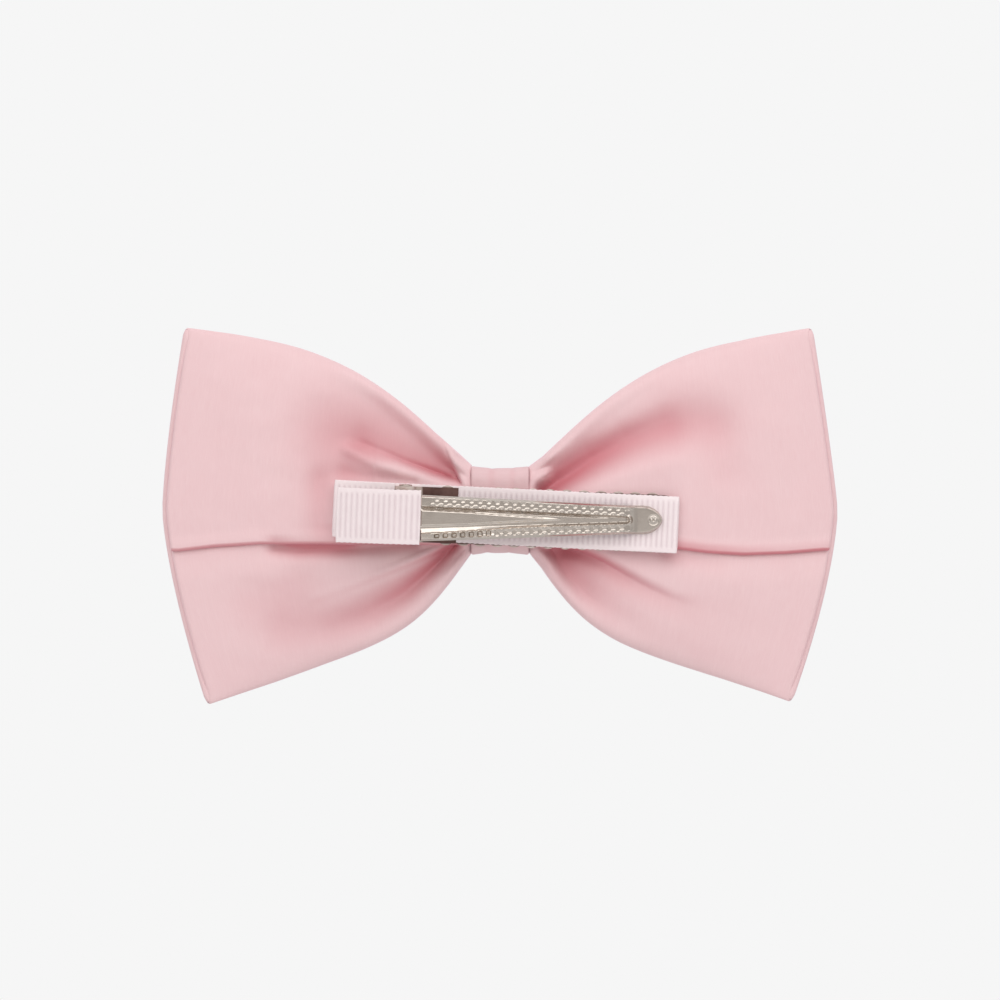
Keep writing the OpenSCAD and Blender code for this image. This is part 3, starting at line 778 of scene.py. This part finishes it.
def satin_bow(material):
    """One strip of satin folded round into two gathered wings, lapped along the back."""
    left, right = wing_rings(-1)[::-1], wing_rings(1)
    waist_x = np.linspace(-ROOT_X + 0.1, ROOT_X - 0.1, 9)
    waist = [(waist_section(left[-1][0], x), np.zeros(len(left[-1][0]))) for x in waist_x]
    rings, depths = (np.array(part) for part in zip(*(left + waist + right)))
    rows, cols = rings.shape[:2]
    round_len = np.array([walked(ring) for ring in rings])
    round_len -= round_len[:, [cols // 2]]
    uv = grid_uv(walked(rings[:, cols // 2])[:, None], round_len)
    # painted shade: fold grooves, the lap, the clip's shadow and cloth facing down are all painted a deeper pink
    deep = np.clip(depths / 3.0 + 0.55 * facing_down_shade(rings), 0, 1) * 0.95
    obj = mesh_object("satin_wings", rings.reshape(-1, 3), grid_faces(rows, cols), uv, {"painted_fold_shade": deep})
    obj.data.materials.append(material)
    with_wall(obj, CLOTH_T)
    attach(obj, ROOT)
    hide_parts("satin_bow")
    return obj


# ---- the knot band

KNOT_CORNER = 2.5


def knot_path():
    """Evenly spaced points round the knot, as (y, z), their outward directions and distances."""
    half_y = (KNOT_HI[1] - KNOT_LO[1]) / 2
    corners = []
    for k, (cy, cz) in enumerate(((1, 1), (-1, 1), (-1, -1), (1, -1))):
        centre = np.array([cy * (half_y - KNOT_CORNER), cz * (KNOT_HALF_H - KNOT_CORNER)])
        for a in np.radians(np.linspace(k * 90, k * 90 + 90, 13)):
            corners.append(centre + KNOT_CORNER * np.array([math.cos(a), math.sin(a)]))
    corners = np.array(corners + corners[:1])
    walk = walked(corners)
    at = np.linspace(0, 1, 181)[:-1] * walk[-1]
    ring = np.stack([np.interp(at, walk, corners[:, 0]), np.interp(at, walk, corners[:, 1])], 1)
    tangent = np.roll(ring, -1, 0) - np.roll(ring, 1, 0)
    normal = -left_of(tangent)
    return ring, normal / np.linalg.norm(normal, axis=1)[:, None], at, walk[-1]


def knot_section():
    """Across the band, with both side edges turned in: places along x, and how far each is sunk."""
    flat = KNOT_HALF_W - HEM_R
    curl = np.linspace(0, math.pi, 8)[1:]
    edge = [(flat + HEM_R * math.sin(a), HEM_R * (1 - math.cos(a))) for a in curl]
    edge += [(flat - d, 2 * HEM_R) for d in (0.8, 1.5)]
    section = [(-x, d) for x, d in edge[::-1]] + [(f * flat, 0.0) for f in np.linspace(-1, 1, 45)] + edge
    return np.array(section).T


def knot_band(material):
    """Folded satin wrapped round the waist: turned side edges, waisted middle, soft creases."""
    ring, normal, at, whole = knot_path()
    xs, sunk = knot_section()
    middle = 1 - np.clip(np.abs(xs) / KNOT_HALF_W, 0, 1) ** 2
    waist = (0.22 * np.abs(normal[:, [1]]) + 0.1) * middle
    at2, x2 = np.meshgrid(at, xs, indexing="ij")
    crease = 0.10 * np.exp(-((x2 - 1.5 - 0.5 * np.sin(at2 / 9)) / 0.5) ** 2)
    crease += 0.12 * np.exp(-((x2 + 1.9 - 0.6 * np.sin(at2 / 11 + 1)) / 0.6) ** 2)
    crease += 0.04 * ripple(x2, at2, 31, 6)
    inner = sunk + waist + crease * (sunk < 0.05)
    y = ring[:, [0]] - normal[:, [0]] * inner + KNOT_MID_Y
    z = ring[:, [1]] - normal[:, [1]] * inner + LIFT
    rows, cols = y.shape
    again = np.append(np.arange(rows), 0)
    points = np.stack([x2, y, z], -1)[again]
    uv = grid_uv(np.append(at, whole)[:, None], xs)
    # painted shade: the knot's creases are painted a deeper pink
    depth = np.clip(crease[again] * 1.2, 0, 1)
    faces = grid_faces(rows + 1, cols)
    obj = mesh_object("knot_wrap", points.reshape(-1, 3), faces, uv, {"painted_fold_shade": depth})
    obj.data.materials.append(material)
    weld(obj, 0.001)
    with_wall(obj, CLOTH_T)
    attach(obj, ROOT)
    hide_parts("knot_band")
    return obj


def weld(obj, distance_mm):
    """Merges the points where a ring closes on itself."""
    m = obj.modifiers.new("weld", "WELD")
    m.merge_threshold = distance_mm * MM
    return applied(obj)


# ---- grosgrain ribbons

def rib_tree():
    """Geometry Nodes: raises ribs across a ribbon that carries its own along and across distances."""
    tree = bpy.data.node_groups.new("grosgrain_ribs", "GeometryNodeTree")
    face = tree.interface
    face.new_socket("Geometry", in_out="INPUT", socket_type="NodeSocketGeometry")
    names = {}
    sizes = {"Rib spacing": 0.86, "Rib height": 0.07, "Half width": RIBBON_W / 2, "Selvedge": 0.75}
    for label, size in sizes.items():
        socket = face.new_socket(label, in_out="INPUT", socket_type="NodeSocketFloat")
        socket.default_value = size * MM
        names[label] = socket.identifier
    names["Cloth"] = face.new_socket("Cloth", in_out="INPUT", socket_type="NodeSocketMaterial").identifier
    face.new_socket("Geometry", in_out="OUTPUT", socket_type="NodeSocketGeometry")
    given = tree.nodes.new("NodeGroupInput").outputs

    def named(label):
        kind = "GeometryNodeInputNamedAttribute"
        return node(tree, kind, {"Name": label}, data_type="FLOAT").outputs["Attribute"]

    def step(kind, values=None, **props):
        """The next node that the geometry goes through."""
        nonlocal cloth
        following = node(tree, kind, values, **props)
        link(tree, cloth, following.inputs["Geometry"])
        cloth = following.outputs["Geometry"]
        return following

    turns = maths(tree, "DIVIDE", named("along"), given["Rib spacing"])
    wave = maths(tree, "COSINE", maths(tree, "MULTIPLY", turns, 2 * math.pi))
    crest = maths(tree, "POWER", maths(tree, "MULTIPLY_ADD", wave, 0.5, 0.5), 0.6)
    room = maths(tree, "SUBTRACT", given["Half width"], maths(tree, "ABSOLUTE", named("across")))
    past_edge = maths(tree, "SUBTRACT", room, maths(tree, "MULTIPLY", given["Selvedge"], 0.7))
    body = maths(tree, "DIVIDE", past_edge, maths(tree, "MULTIPLY", given["Selvedge"], 0.6))
    body = maths(tree, "MINIMUM", maths(tree, "MAXIMUM", body, 0.0), 1.0)
    rib = maths(tree, "MULTIPLY", crest, body)
    lift = maths(tree, "SUBTRACT", rib, maths(tree, "MULTIPLY", body, 0.5))
    lift = maths(tree, "MULTIPLY", maths(tree, "MULTIPLY", lift, given["Rib height"]), named("face_side"))
    shift = node(tree, "ShaderNodeVectorMath", operation="SCALE")
    link(tree, tree.nodes.new("GeometryNodeInputNormal").outputs[0], shift.inputs[0])
    link(tree, lift, shift.inputs["Scale"])
    cloth = given["Geometry"]
    link(tree, shift.outputs[0], step("GeometryNodeSetPosition").inputs["Offset"])
    # the stored rib value marks crowns and selvedges, which the ribbon's colour paints lighter, with painted shade
    # in the hollows
    store = step("GeometryNodeStoreNamedAttribute", {"Name": "rib"}, data_type="FLOAT", domain="POINT")
    selvedge = maths(tree, "SUBTRACT", 1.0, body)
    link(tree, maths(tree, "ADD", rib, selvedge), store.inputs["Value"])
    step("GeometryNodeRealizeInstances")
    link(tree, given["Cloth"], step("GeometryNodeSetMaterial").inputs["Material"])
    link(tree, cloth, tree.nodes.new("NodeGroupOutput").inputs[0])
    return tree, names


def rounded_line(points, radius, step):
    """A line through corner points with its corners rounded, sampled every step."""
    pts = [np.array(p, float) for p in points]
    dense = [pts[0]]
    for a, b, c in zip(pts, pts[1:], pts[2:]):
        d1, d2 = (a - b), (c - b)
        l1, l2 = np.linalg.norm(d1), np.linalg.norm(d2)
        half = math.acos(np.clip(np.dot(d1, d2) / (l1 * l2), -1, 1)) / 2
        cut = min(radius / math.tan(half), l1 * 0.45, l2 * 0.45)
        p0, p2 = b + d1 / l1 * cut, b + d2 / l2 * cut
        for f in np.linspace(0, 1, 9):
            dense.append((1 - f) ** 2 * p0 + 2 * f * (1 - f) * b + f**2 * p2)
    dense = np.array(dense + [pts[-1]])
    walk = walked(dense)
    at = np.linspace(0, walk[-1], max(8, int(walk[-1] / step)))
    return np.stack([np.interp(at, walk, dense[:, k]) for k in range(2)], 1), at


def swept(mid, loop_w, loop_t):
    """A flat section carried along a (u, v) line: loop_w lies across it, loop_t off it."""
    off = left_of(way_of(mid))
    u = mid[:, [0]] + off[:, [0]] * loop_t
    v = mid[:, [1]] + off[:, [1]] * loop_t
    return u, np.broadcast_to(loop_w, u.shape), v


def ribbon(name, line, place, spacing, material, tree, names, shift=0.0, width=RIBBON_W, seed=1):
    """A grosgrain ribbon swept along a (u, v) line down its middle, with ribs raised on it."""
    mid, at = rounded_line(line, 0.25, 0.11)
    half = width / 2
    rim = np.array([0.92, 0.955, 0.985, 1.0])
    across = np.concatenate([-rim[::-1], np.linspace(-0.88, 0.88, 17), rim])
    thick = np.interp(np.abs(across), [0, 0.86, 0.93, 0.985, 1.0], [1, 1, 0.8, 0.62, 0.2])
    picot = 0.035 * np.cos(2 * math.pi * at / spacing)
    loop_w = np.concatenate([across, across[::-1]]) * half
    loop_t = np.concatenate([thick, -thick[::-1]]) * (RIBBON_T - 0.07) / 2
    u, w, v = swept(mid, loop_w, loop_t)
    w = w * (1 + picot[:, None] * (np.abs(loop_w) > half * 0.95) / half)
    w = w + shift + 0.03 * ripple(at[:, None], loop_w * 0, seed, 14)
    faces = tube_faces(*u.shape, flip=True)
    obj = mesh_object(name, place(u, w, v).reshape(-1, 3), faces, grid_uv(at[:, None], loop_w), {
        "along": np.broadcast_to(at[:, None], u.shape) * MM,
        "across": np.broadcast_to(loop_w, u.shape) * MM,
        "face_side": np.ones(u.shape),
    })
    recalc_outwards(obj)
    m = obj.modifiers.new("ribs", "NODES")
    m.node_group = tree
    m[names["Rib spacing"]] = spacing * MM
    m[names["Rib height"]] = 0.13 * MM
    m[names["Half width"]] = half * MM
    m[names["Cloth"]] = material
    shade_smooth(applied(obj))
    return obj


def recalc_outwards(obj):
    """Turns a closed mesh's faces outwards by the sign of its volume."""
    bm = bmesh.new()
    bm.from_mesh(obj.data)
    bmesh.ops.recalc_face_normals(bm, faces=bm.faces)
    if bm.calc_volume(signed=True) < 0:
        bmesh.ops.reverse_faces(bm, faces=bm.faces)
    bm.to_mesh(obj.data)
    bm.free()


# ---- the upper jaw

PLATEAU = 5.6                             # top of the flat over the pin
FRONT_U = -13.0                           # where the toothed front starts
TIP_U = 26.6
FLAT_U = 21.0                             # where the front stops narrowing
TAB_U, TAB_V = -26.2, 9.0                 # end of the thumb tab
HEEL_U = -17.5                            # bend from the flat to the tab
TAB_SLOPE = (TAB_V - PLATEAU) / (HEEL_U - TAB_U)
EAR_OUT = 3.85
SKEW = math.radians(1.5)                  # how far the front turns and stands aside in plan
SHIFT = -0.65
CHANNEL_END = 20.7                        # where the two rails meet in an arc
TOOTH = 1.41                              # spacing of the teeth


def front_place(u, w, v):
    """The front of the jaw leans slightly in plan from the pivot."""
    du = u - PIVOT_U
    return on_metal(PIVOT_U + du * math.cos(SKEW) - w * math.sin(SKEW),
                    SHIFT + du * math.sin(SKEW) + w * math.cos(SKEW), v)


def jaw_half_width(u):
    """Half the width of the front: an even taper, then the nose."""
    root, tip = 3.8, 2.35
    taper = mix(root, tip, np.clip((u - FRONT_U) / (FLAT_U - FRONT_U), -1, 1.0))
    from_tip = [0, 0.08, 0.21, 0.63, 1.25, 2.1, 3.1]
    nose = np.interp(TIP_U - u, from_tip, [0.3, 0.5, 0.75, 1.28, 1.8, 2.2, tip])
    return np.where(u > TIP_U - 3.1, nose, taper)


def jaw_top(u):
    """Height of the plate's upper side, before anything is pressed into it."""
    at = [HEEL_U, FRONT_U - 0.5, FRONT_U + 0.5, 20.6, 21.3, 22.0, 22.6, 40]
    return np.interp(u, at, [PLATEAU, PLATEAU, 5.5, 1.34, 1.05, 0.5, 0.28, 0.28])


def tip_dimple(u, w):
    """Small raised boss near the tip, with a cross cut into it."""
    du = u - (TIP_U - 1.45)
    r = np.hypot(du, w)
    boss = 0.2 * (1 - ramp(r, 0.32, 0.68)) - 0.04 * np.exp(-(((r - 0.76) / 0.1) ** 2))
    cross = np.exp(-(((du - w) / 0.13) ** 2)) + np.exp(-(((du + w) / 0.13) ** 2))
    return boss - 0.12 * cross * (1 - ramp(r, 0.35, 0.55))


def rail_teeth(u, w, reach, inner, outer, wave):
    """Pressed teeth of a rail: beads along the channel, small pits, and squares near the pin."""
    upper = ramp(w, -0.1, 0.1)
    far = ramp(u, -4, 1)
    bead_row = np.exp(-(((reach - inner - 0.12) / 0.23) ** 2)) * wave**1.8
    inner_beads = bead_row * mix(0.2 * far, 0.3, upper)
    outer_beads = np.exp(-(((reach - outer + 0.2) / 0.2) ** 2)) * wave**1.6 * 0.2 * far * (1 - upper)
    bed = ramp(reach, inner + 0.06, inner + 0.3) * (1 - ramp(reach, outer - 0.26, outer - 0.02))
    squares = ramp(1 - wave, 0.3, 0.72) * bed * mix(0.34 * (1 - far) + 0.04, 0.03, upper)
    pits = np.exp(-(((reach - outer + 0.3) / 0.16) ** 2)) * (1 - wave) ** 3 * 0.13 * upper
    return inner_beads + outer_beads - squares - pits


def jaw_emboss(u, w):
    """Pressed height of the front: two toothed rails round a sunk channel with a raised tongue."""
    half = jaw_half_width(u)
    channel = np.clip(half - 2.0, 0.34, None)
    end = np.clip(u - CHANNEL_END, 0, None)
    from_middle = np.hypot(w, end)
    wall = np.where(w > 0, 0.22, mix(0.75, 0.3, ramp(u, -12, 6)))
    climb = np.clip((from_middle - channel + 0.05) / (wall + 0.05), 0, 1)
    climb = np.where(w > 0, smooth(climb), 0.55 * climb + 0.45 * ramp(climb, 0.8, 1.0))
    rail = ramp(half - np.abs(w), 0.0, 0.36) * climb * ramp(u, FRONT_U, FRONT_U + 0.2)
    teeth_on = ramp(u, -11.4, -10.9) * (1 - ramp(u, 21.7, 22.0))
    round_end = np.arctan2(end, np.abs(w)) * (channel + 0.4) * 0.8
    along = np.minimum(u, CHANNEL_END) + round_end + 11.0
    wave = 0.5 + 0.5 * np.cos(2 * math.pi * along / TOOTH)
    inner, outer = channel + wall, np.maximum(half - 0.36, channel + wall + 0.3)
    reach = np.where(end > 0, from_middle, np.abs(w))
    height = 0.48 + teeth_on * rail_teeth(u, w, reach, inner, outer, wave)
    foot = -0.22 * np.exp(-(((w - channel + 0.12) / 0.13) ** 2)) * (1 - ramp(u, 12, 19))
    tongue_half = np.clip(channel - 0.45, 0.0, None) * np.clip((11 - u) / 16, 0, 1) ** 0.5
    tongue = 0.13 * (1 - ramp(np.abs(w), tongue_half - 0.2, tongue_half + 0.08))
    tongue = tongue * ramp(tongue_half, 0.06, 0.3)
    sunk = (tongue + foot) * (1 - rail) * ramp(u, FRONT_U, FRONT_U + 0.4)
    return 1.3 * rail * height + sunk + tip_dimple(u, w)


def jaw_front():
    """The tapering front plate, pressed from below, as points and faces."""
    long_part = np.linspace(FRONT_U - 0.6, FLAT_U + 1.0, 380)
    u = np.concatenate([long_part, np.linspace(FLAT_U + 1.0, TIP_U, 56)[1:]])
    uu, ff = np.meshgrid(u, np.linspace(-1, 1, 93), indexing="ij")
    ww = ff * jaw_half_width(uu)
    rounded = 0.05 * np.abs(ff) ** 12
    top = jaw_top(uu) + jaw_emboss(uu, ww) - rounded
    under = np.minimum(jaw_top(uu) - SHEET + 0.75 * jaw_emboss(uu, ww), top - 0.3) + rounded
    rows, cols = uu.shape
    n = rows * cols
    number = np.arange(n).reshape(rows, cols)
    border = np.concatenate([number[:, 0], number[-1, 1:], number[-2::-1, -1], number[0, -2:0:-1]])
    onward = np.roll(border, -1)
    faces = list(grid_faces(rows, cols)) + list(grid_faces(rows, cols, offset=n, flip=True))
    faces += list(np.stack([border, onward, onward + n, border + n], 1))
    return np.vstack([front_place(uu, ww, v).reshape(-1, 3) for v in (top, under)]), faces


def jaw_tab():
    """Thumb tab and the flat over the pin, one bent plate with rounded sides."""
    middle = PLATEAU - SHEET / 2
    mid, _ = rounded_line([(TAB_U, TAB_V - SHEET / 2), (HEEL_U, middle), (FRONT_U, middle)], 1.6, 0.3)
    k = np.linspace(0, 2 * math.pi, 41)[:-1]
    flat = EAR_OUT - 0.12
    loop_w = np.clip(EAR_OUT * 1.25 * np.cos(k), -flat, flat) + 0.12 * np.cos(k)
    loop_t = SHEET / 2 * 0.97 * np.clip(np.sin(k) * 6, -1, 1)
    u, w, v = swept(mid, loop_w, loop_t)
    return on_metal(u, w, v).reshape(-1, 3), tube_faces(*u.shape)


def jaw_ear(side):
    """One ear: a round-ended plate with the pin's bore through it."""
    r, bore, n = 1.5, 0.8, 48
    top = PLATEAU - 0.35 - PIVOT_V
    a = 2 * math.pi * np.arange(n) / n
    unit = np.stack([np.cos(a), np.sin(a)], 1)
    to_side = r / np.maximum(np.abs(unit[:, 0]), 1e-6)
    to_top = top / np.maximum(unit[:, 1], 1e-6)
    outline = unit * np.where(unit[:, 1] * r > 0, np.minimum(to_side, to_top), r)[:, None]
    hole = unit * bore
    inner, outer = side * (EAR_OUT - SHEET), side * EAR_OUT
    rings = [on_metal(PIVOT_U + p[:, 0], np.full(n, w), PIVOT_V + p[:, 1])
             for p, w in ((outline, inner), (outline, outer), (hole, outer), (hole, inner))]
    return np.vstack(rings), list(grid_faces(4, n, close_rows=True, close_cols=True, flip=side < 0))


def upper_jaw(material):
    obj = joined("pressed_jaw", [jaw_front(), jaw_tab(), jaw_ear(-1), jaw_ear(1)])
    obj.data.materials.append(material)
    recalc_outwards(obj)
    crisp(obj, 0.7)
    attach(obj, JAW)
    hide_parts("upper_jaw")
    return obj


def crisp(obj, angle):
    """Smooth faces, with edges sharper than the angle kept crisp."""
    shade_smooth(obj)
    obj.data.set_sharp_from_angle(angle=angle)


# ---- pin and spring

def lathe(name, profile, centre, axis, segments=48):
    """Turned piece: profile is (along the axis, radius) in millimetres."""
    e = np.cross(axis, OUT)
    e /= np.linalg.norm(e)
    f = np.cross(axis, e)
    a = np.linspace(0, 2 * math.pi, segments, endpoint=False)[:, None]
    round_it = np.cos(a) * e + np.sin(a) * f
    verts = np.vstack([centre + h * axis + r * round_it for h, r in profile])
    obj = mesh_object(name, verts, tube_faces(len(profile), segments))
    recalc_outwards(obj)
    return obj


def pivot_pin(material):
    """Riveted pin: plain shank and two domed heads."""
    head = [(4.55, 0.75), (4.57, 1.05), (4.64, 1.1), (4.74, 1.08), (4.84, 0.92), (4.89, 0.62), (4.9, 0.2)]
    other_head = [(-h, r) for h, r in head[::-1]]
    obj = lathe("riveted_pin", other_head + head, PIVOT, METAL_ACROSS / np.linalg.norm(METAL_ACROSS))
    obj.data.materials.append(material)
    crisp(obj, 0.9)
    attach(obj, ROOT)
    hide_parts("pivot_pin")
    return obj


SPRING_WIRE = 0.55
SPRING_HALF = 5 * SPRING_WIRE * 1.1 / 2   # half the coil's length along the pin


def spring_line():
    """Middle of the wire as (u, w, v): a leg on the lower jaw, the coil, a leg under the tab."""
    turns, half = 5.5, SPRING_HALF
    coil_r = 0.75 + 0.1 + SPRING_WIRE / 2
    f = np.linspace(0, 1, int(turns * 40))
    a = math.radians(-90) - 2 * math.pi * turns * f
    coil = np.stack([PIVOT_U + coil_r * np.cos(a), -half + 2 * half * f, PIVOT_V + coil_r * np.sin(a)], 1)
    under = SHEET + SPRING_WIRE * 0.7
    tab_u = TAB_U + 4.9
    tab_v = PLATEAU + TAB_SLOPE * (HEEL_U - tab_u) - under
    foot = [PIVOT_U - 4.5, -half, -RIBBON_T + SPRING_WIRE * 0.6]
    knee = np.array([HEEL_U, half, PLATEAU - under])
    line = np.vstack([np.linspace(foot, coil[0], 14)[:-1], coil, np.linspace(coil[-1], knee, 7)[1:],
                      np.linspace(knee, [tab_u, half, tab_v], 12)[1:]])
    line[2:-2] = (line[:-4] + line[1:-3] + line[2:-2] + line[3:-1] + line[4:]) / 5
    return line


def torsion_spring(material):
    """Coil on the pin with one leg on the lower jaw and one under the thumb tab."""
    line, sides = spring_line(), 14
    way = way_of(line)
    e = np.cross(way, [0.0, 1.0, 0.0])
    e /= np.linalg.norm(e, axis=1)[:, None]
    g = np.cross(way, e)
    k = np.linspace(0, 2 * math.pi, sides, endpoint=False)[None, :, None]
    pts = line[:, None] + SPRING_WIRE / 2 * (np.cos(k) * e[:, None] + np.sin(k) * g[:, None])
    verts = on_metal(pts[..., 0], pts[..., 1], pts[..., 2]).reshape(-1, 3)
    uv = grid_uv(walked(line)[:, None], k[0, :, 0] * SPRING_WIRE / 2)
    obj = mesh_object("sprung_coil", verts, tube_faces(len(line), sides), uv)
    recalc_outwards(obj)
    obj.data.materials.append(material)
    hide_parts("torsion_spring")
    reach = SPRING_HALF - 0.2
    start = on_metal(np.array(PIVOT_U), np.array(-reach), np.array(PIVOT_V)) * MM
    end = on_metal(np.array(PIVOT_U), np.array(reach), np.array(PIVOT_V)) * MM
    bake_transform(obj)
    return obj


# ---- everything together

satin = satin_material()
grosgrain = grosgrain_material()
nickel = nickel_material()
wings = satin_bow(satin)
# painted shade: the knot band is the same satin, painted darker
knot = knot_band(satin_material("knot satin painted in shade", 0.88))
ribs, rib_names = rib_tree()

half_t = RIBBON_T / 2
liner_end, ribbon_end = -17.5, -7.0                          # its two cut ends
heel, front = -27.05 - half_t, 28.95 + half_t                # where it turns round the jaw's ends
face, back = -half_t, -0.95 - half_t                         # on the grip face, and behind the jaw
base_line = [(liner_end, face), (heel, face), (heel, back), (front, back), (front, face), (ribbon_end, face)]
base_ribbon = ribbon("jaw_ribbon", base_line, on_ribbon, 0.86, grosgrain, ribs, rib_names,
                     width=RIBBON_SEEN_W, seed=4)
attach(base_ribbon, ROOT)
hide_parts("lower_jaw_ribbon")

off_tab = half_t / math.cos(math.atan(TAB_SLOPE))            # half the ribbon, square to the tab
tab_end = TAB_U - 0.1 - half_t
tab_top = TAB_V + TAB_SLOPE * half_t
tab_line = [(FRONT_U, PLATEAU + half_t), (HEEL_U, PLATEAU + half_t), (tab_end, tab_top + 0.12 + off_tab),
            (tab_end, tab_top + 0.05 - SHEET - off_tab),
            (TAB_U + 4.4, TAB_V - TAB_SLOPE * 4.4 - SHEET - off_tab)]
# painted shade: the tab ribbon is the same grosgrain, painted a little darker
thumb = ribbon("tab_ribbon", tab_line, on_metal, 0.94, grosgrain_material("tab grosgrain painted in shade", 0.95), ribs,
               rib_names, shift=-0.52, width=8.9, seed=8)
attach(thumb, JAW)
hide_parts("thumb_ribbon")

jaw = upper_jaw(nickel)
pivot_pin(nickel)
torsion_spring(spring_material())

thread, interfacing = thread_material(), interfacing_material()
for name, material in (("lower_jaw", lower_jaw_material()), ("glue_pad", glue_material()),
                       ("gather_thread", thread), ("knot_stitches", thread),
                       ("left_stiffener", interfacing), ("right_stiffener", interfacing)):
    slots = frame["nodes"][name].data.materials
    slots.clear()
    slots.append(material)


# ---- floor, light and camera

def plain(name, shade, rough=0.9):
    """One even finish, for what isn't part of the object."""
    mat, _, s = new_material(name, Roughness=rough, Specular_IOR_Level=0.1)
    s.inputs["Base Color"].default_value = (*srgb(*shade), 1)
    return mat


def area_light(name, place, at, size, power):
    """A soft box that faces a point."""
    data = bpy.data.lights.new(name, "AREA")
    data.shape = "RECTANGLE"
    data.size, data.size_y = size
    data.energy = power
    lamp = bpy.data.objects.new(name, data)
    lamp.location = place
    lamp.rotation_euler = (Vector(at) - Vector(place)).to_track_quat("-Z", "Y").to_euler()
    bpy.context.scene.collection.objects.link(lamp)


def surround(tree):
    """Pale wall behind the bow, pale above and below, a quieter grey in front of it."""
    sky = tree.nodes["Background"]
    look = node(tree, "ShaderNodeSeparateXYZ")
    link(tree, node(tree, "ShaderNodeTexCoord").outputs["Generated"], look.inputs[0])
    aside = span(tree, look.outputs["Y"], -0.9, -0.3)
    behind = span(tree, look.outputs["Y"], -0.1, 0.35)
    above = span(tree, look.outputs["Z"], 0.3, 0.75)
    below = span(tree, look.outputs["Z"], -0.35, -0.8)
    grey = tint(tree, aside, (0.54, 0.525, 0.51), (0.7, 0.7, 0.7))
    grey = tint(tree, above, grey, (0.9, 0.9, 0.9))
    grey = tint(tree, below, grey, (0.58, 0.55, 0.55))
    link(tree, tint(tree, behind, grey, srgb(246, 246, 246)), sky.inputs["Color"])
    sky.inputs["Strength"].default_value = 1.0


def studio():
    """Plain pale floor well below the bow, a pale even surround, and soft boxes above and in front."""
    scene = bpy.context.scene
    world = bpy.data.worlds.new("pale studio")
    scene.world = world
    world.use_nodes = True
    surround(world.node_tree)
    half, near, far, low = 1600, -1800, 700, -200
    corners = [(-half, near, low), (half, near, low), (half, far, low), (-half, far, low)]
    floor = mesh_object("floor", corners, [(0, 1, 2, 3)], smooth_shade=False)
    floor.data.materials.append(plain("pale floor", (222, 222, 222)))
    centre = (0, 0, 0)
    area_light("top box", (0.06, -0.62, 0.46), centre, (1.1, 0.7), 3.2)
    area_light("low fill", (-0.1, -0.75, -0.35), centre, (1.2, 0.7), 1.3)
    scene.view_settings.view_transform = "Standard"
    scene.view_settings.look = "None"


def camera():
    """Long lens square on to the clip side, at the height of the bow's middle."""
    data = bpy.data.cameras.new("camera")
    data.sensor_width = 36
    distance, clip_depth, view_width = 1.2, 0.004, 0.16447
    data.lens = 36 * (distance + clip_depth) / view_width
    data.clip_start = 0.01
    data.clip_end = 10
    obj = bpy.data.objects.new("camera", data)
    obj.location = (0, -distance, 0.002687)
    obj.rotation_euler = (math.radians(90), 0, 0)
    bpy.context.scene.collection.objects.link(obj)
    bpy.context.scene.camera = obj


studio()
camera()
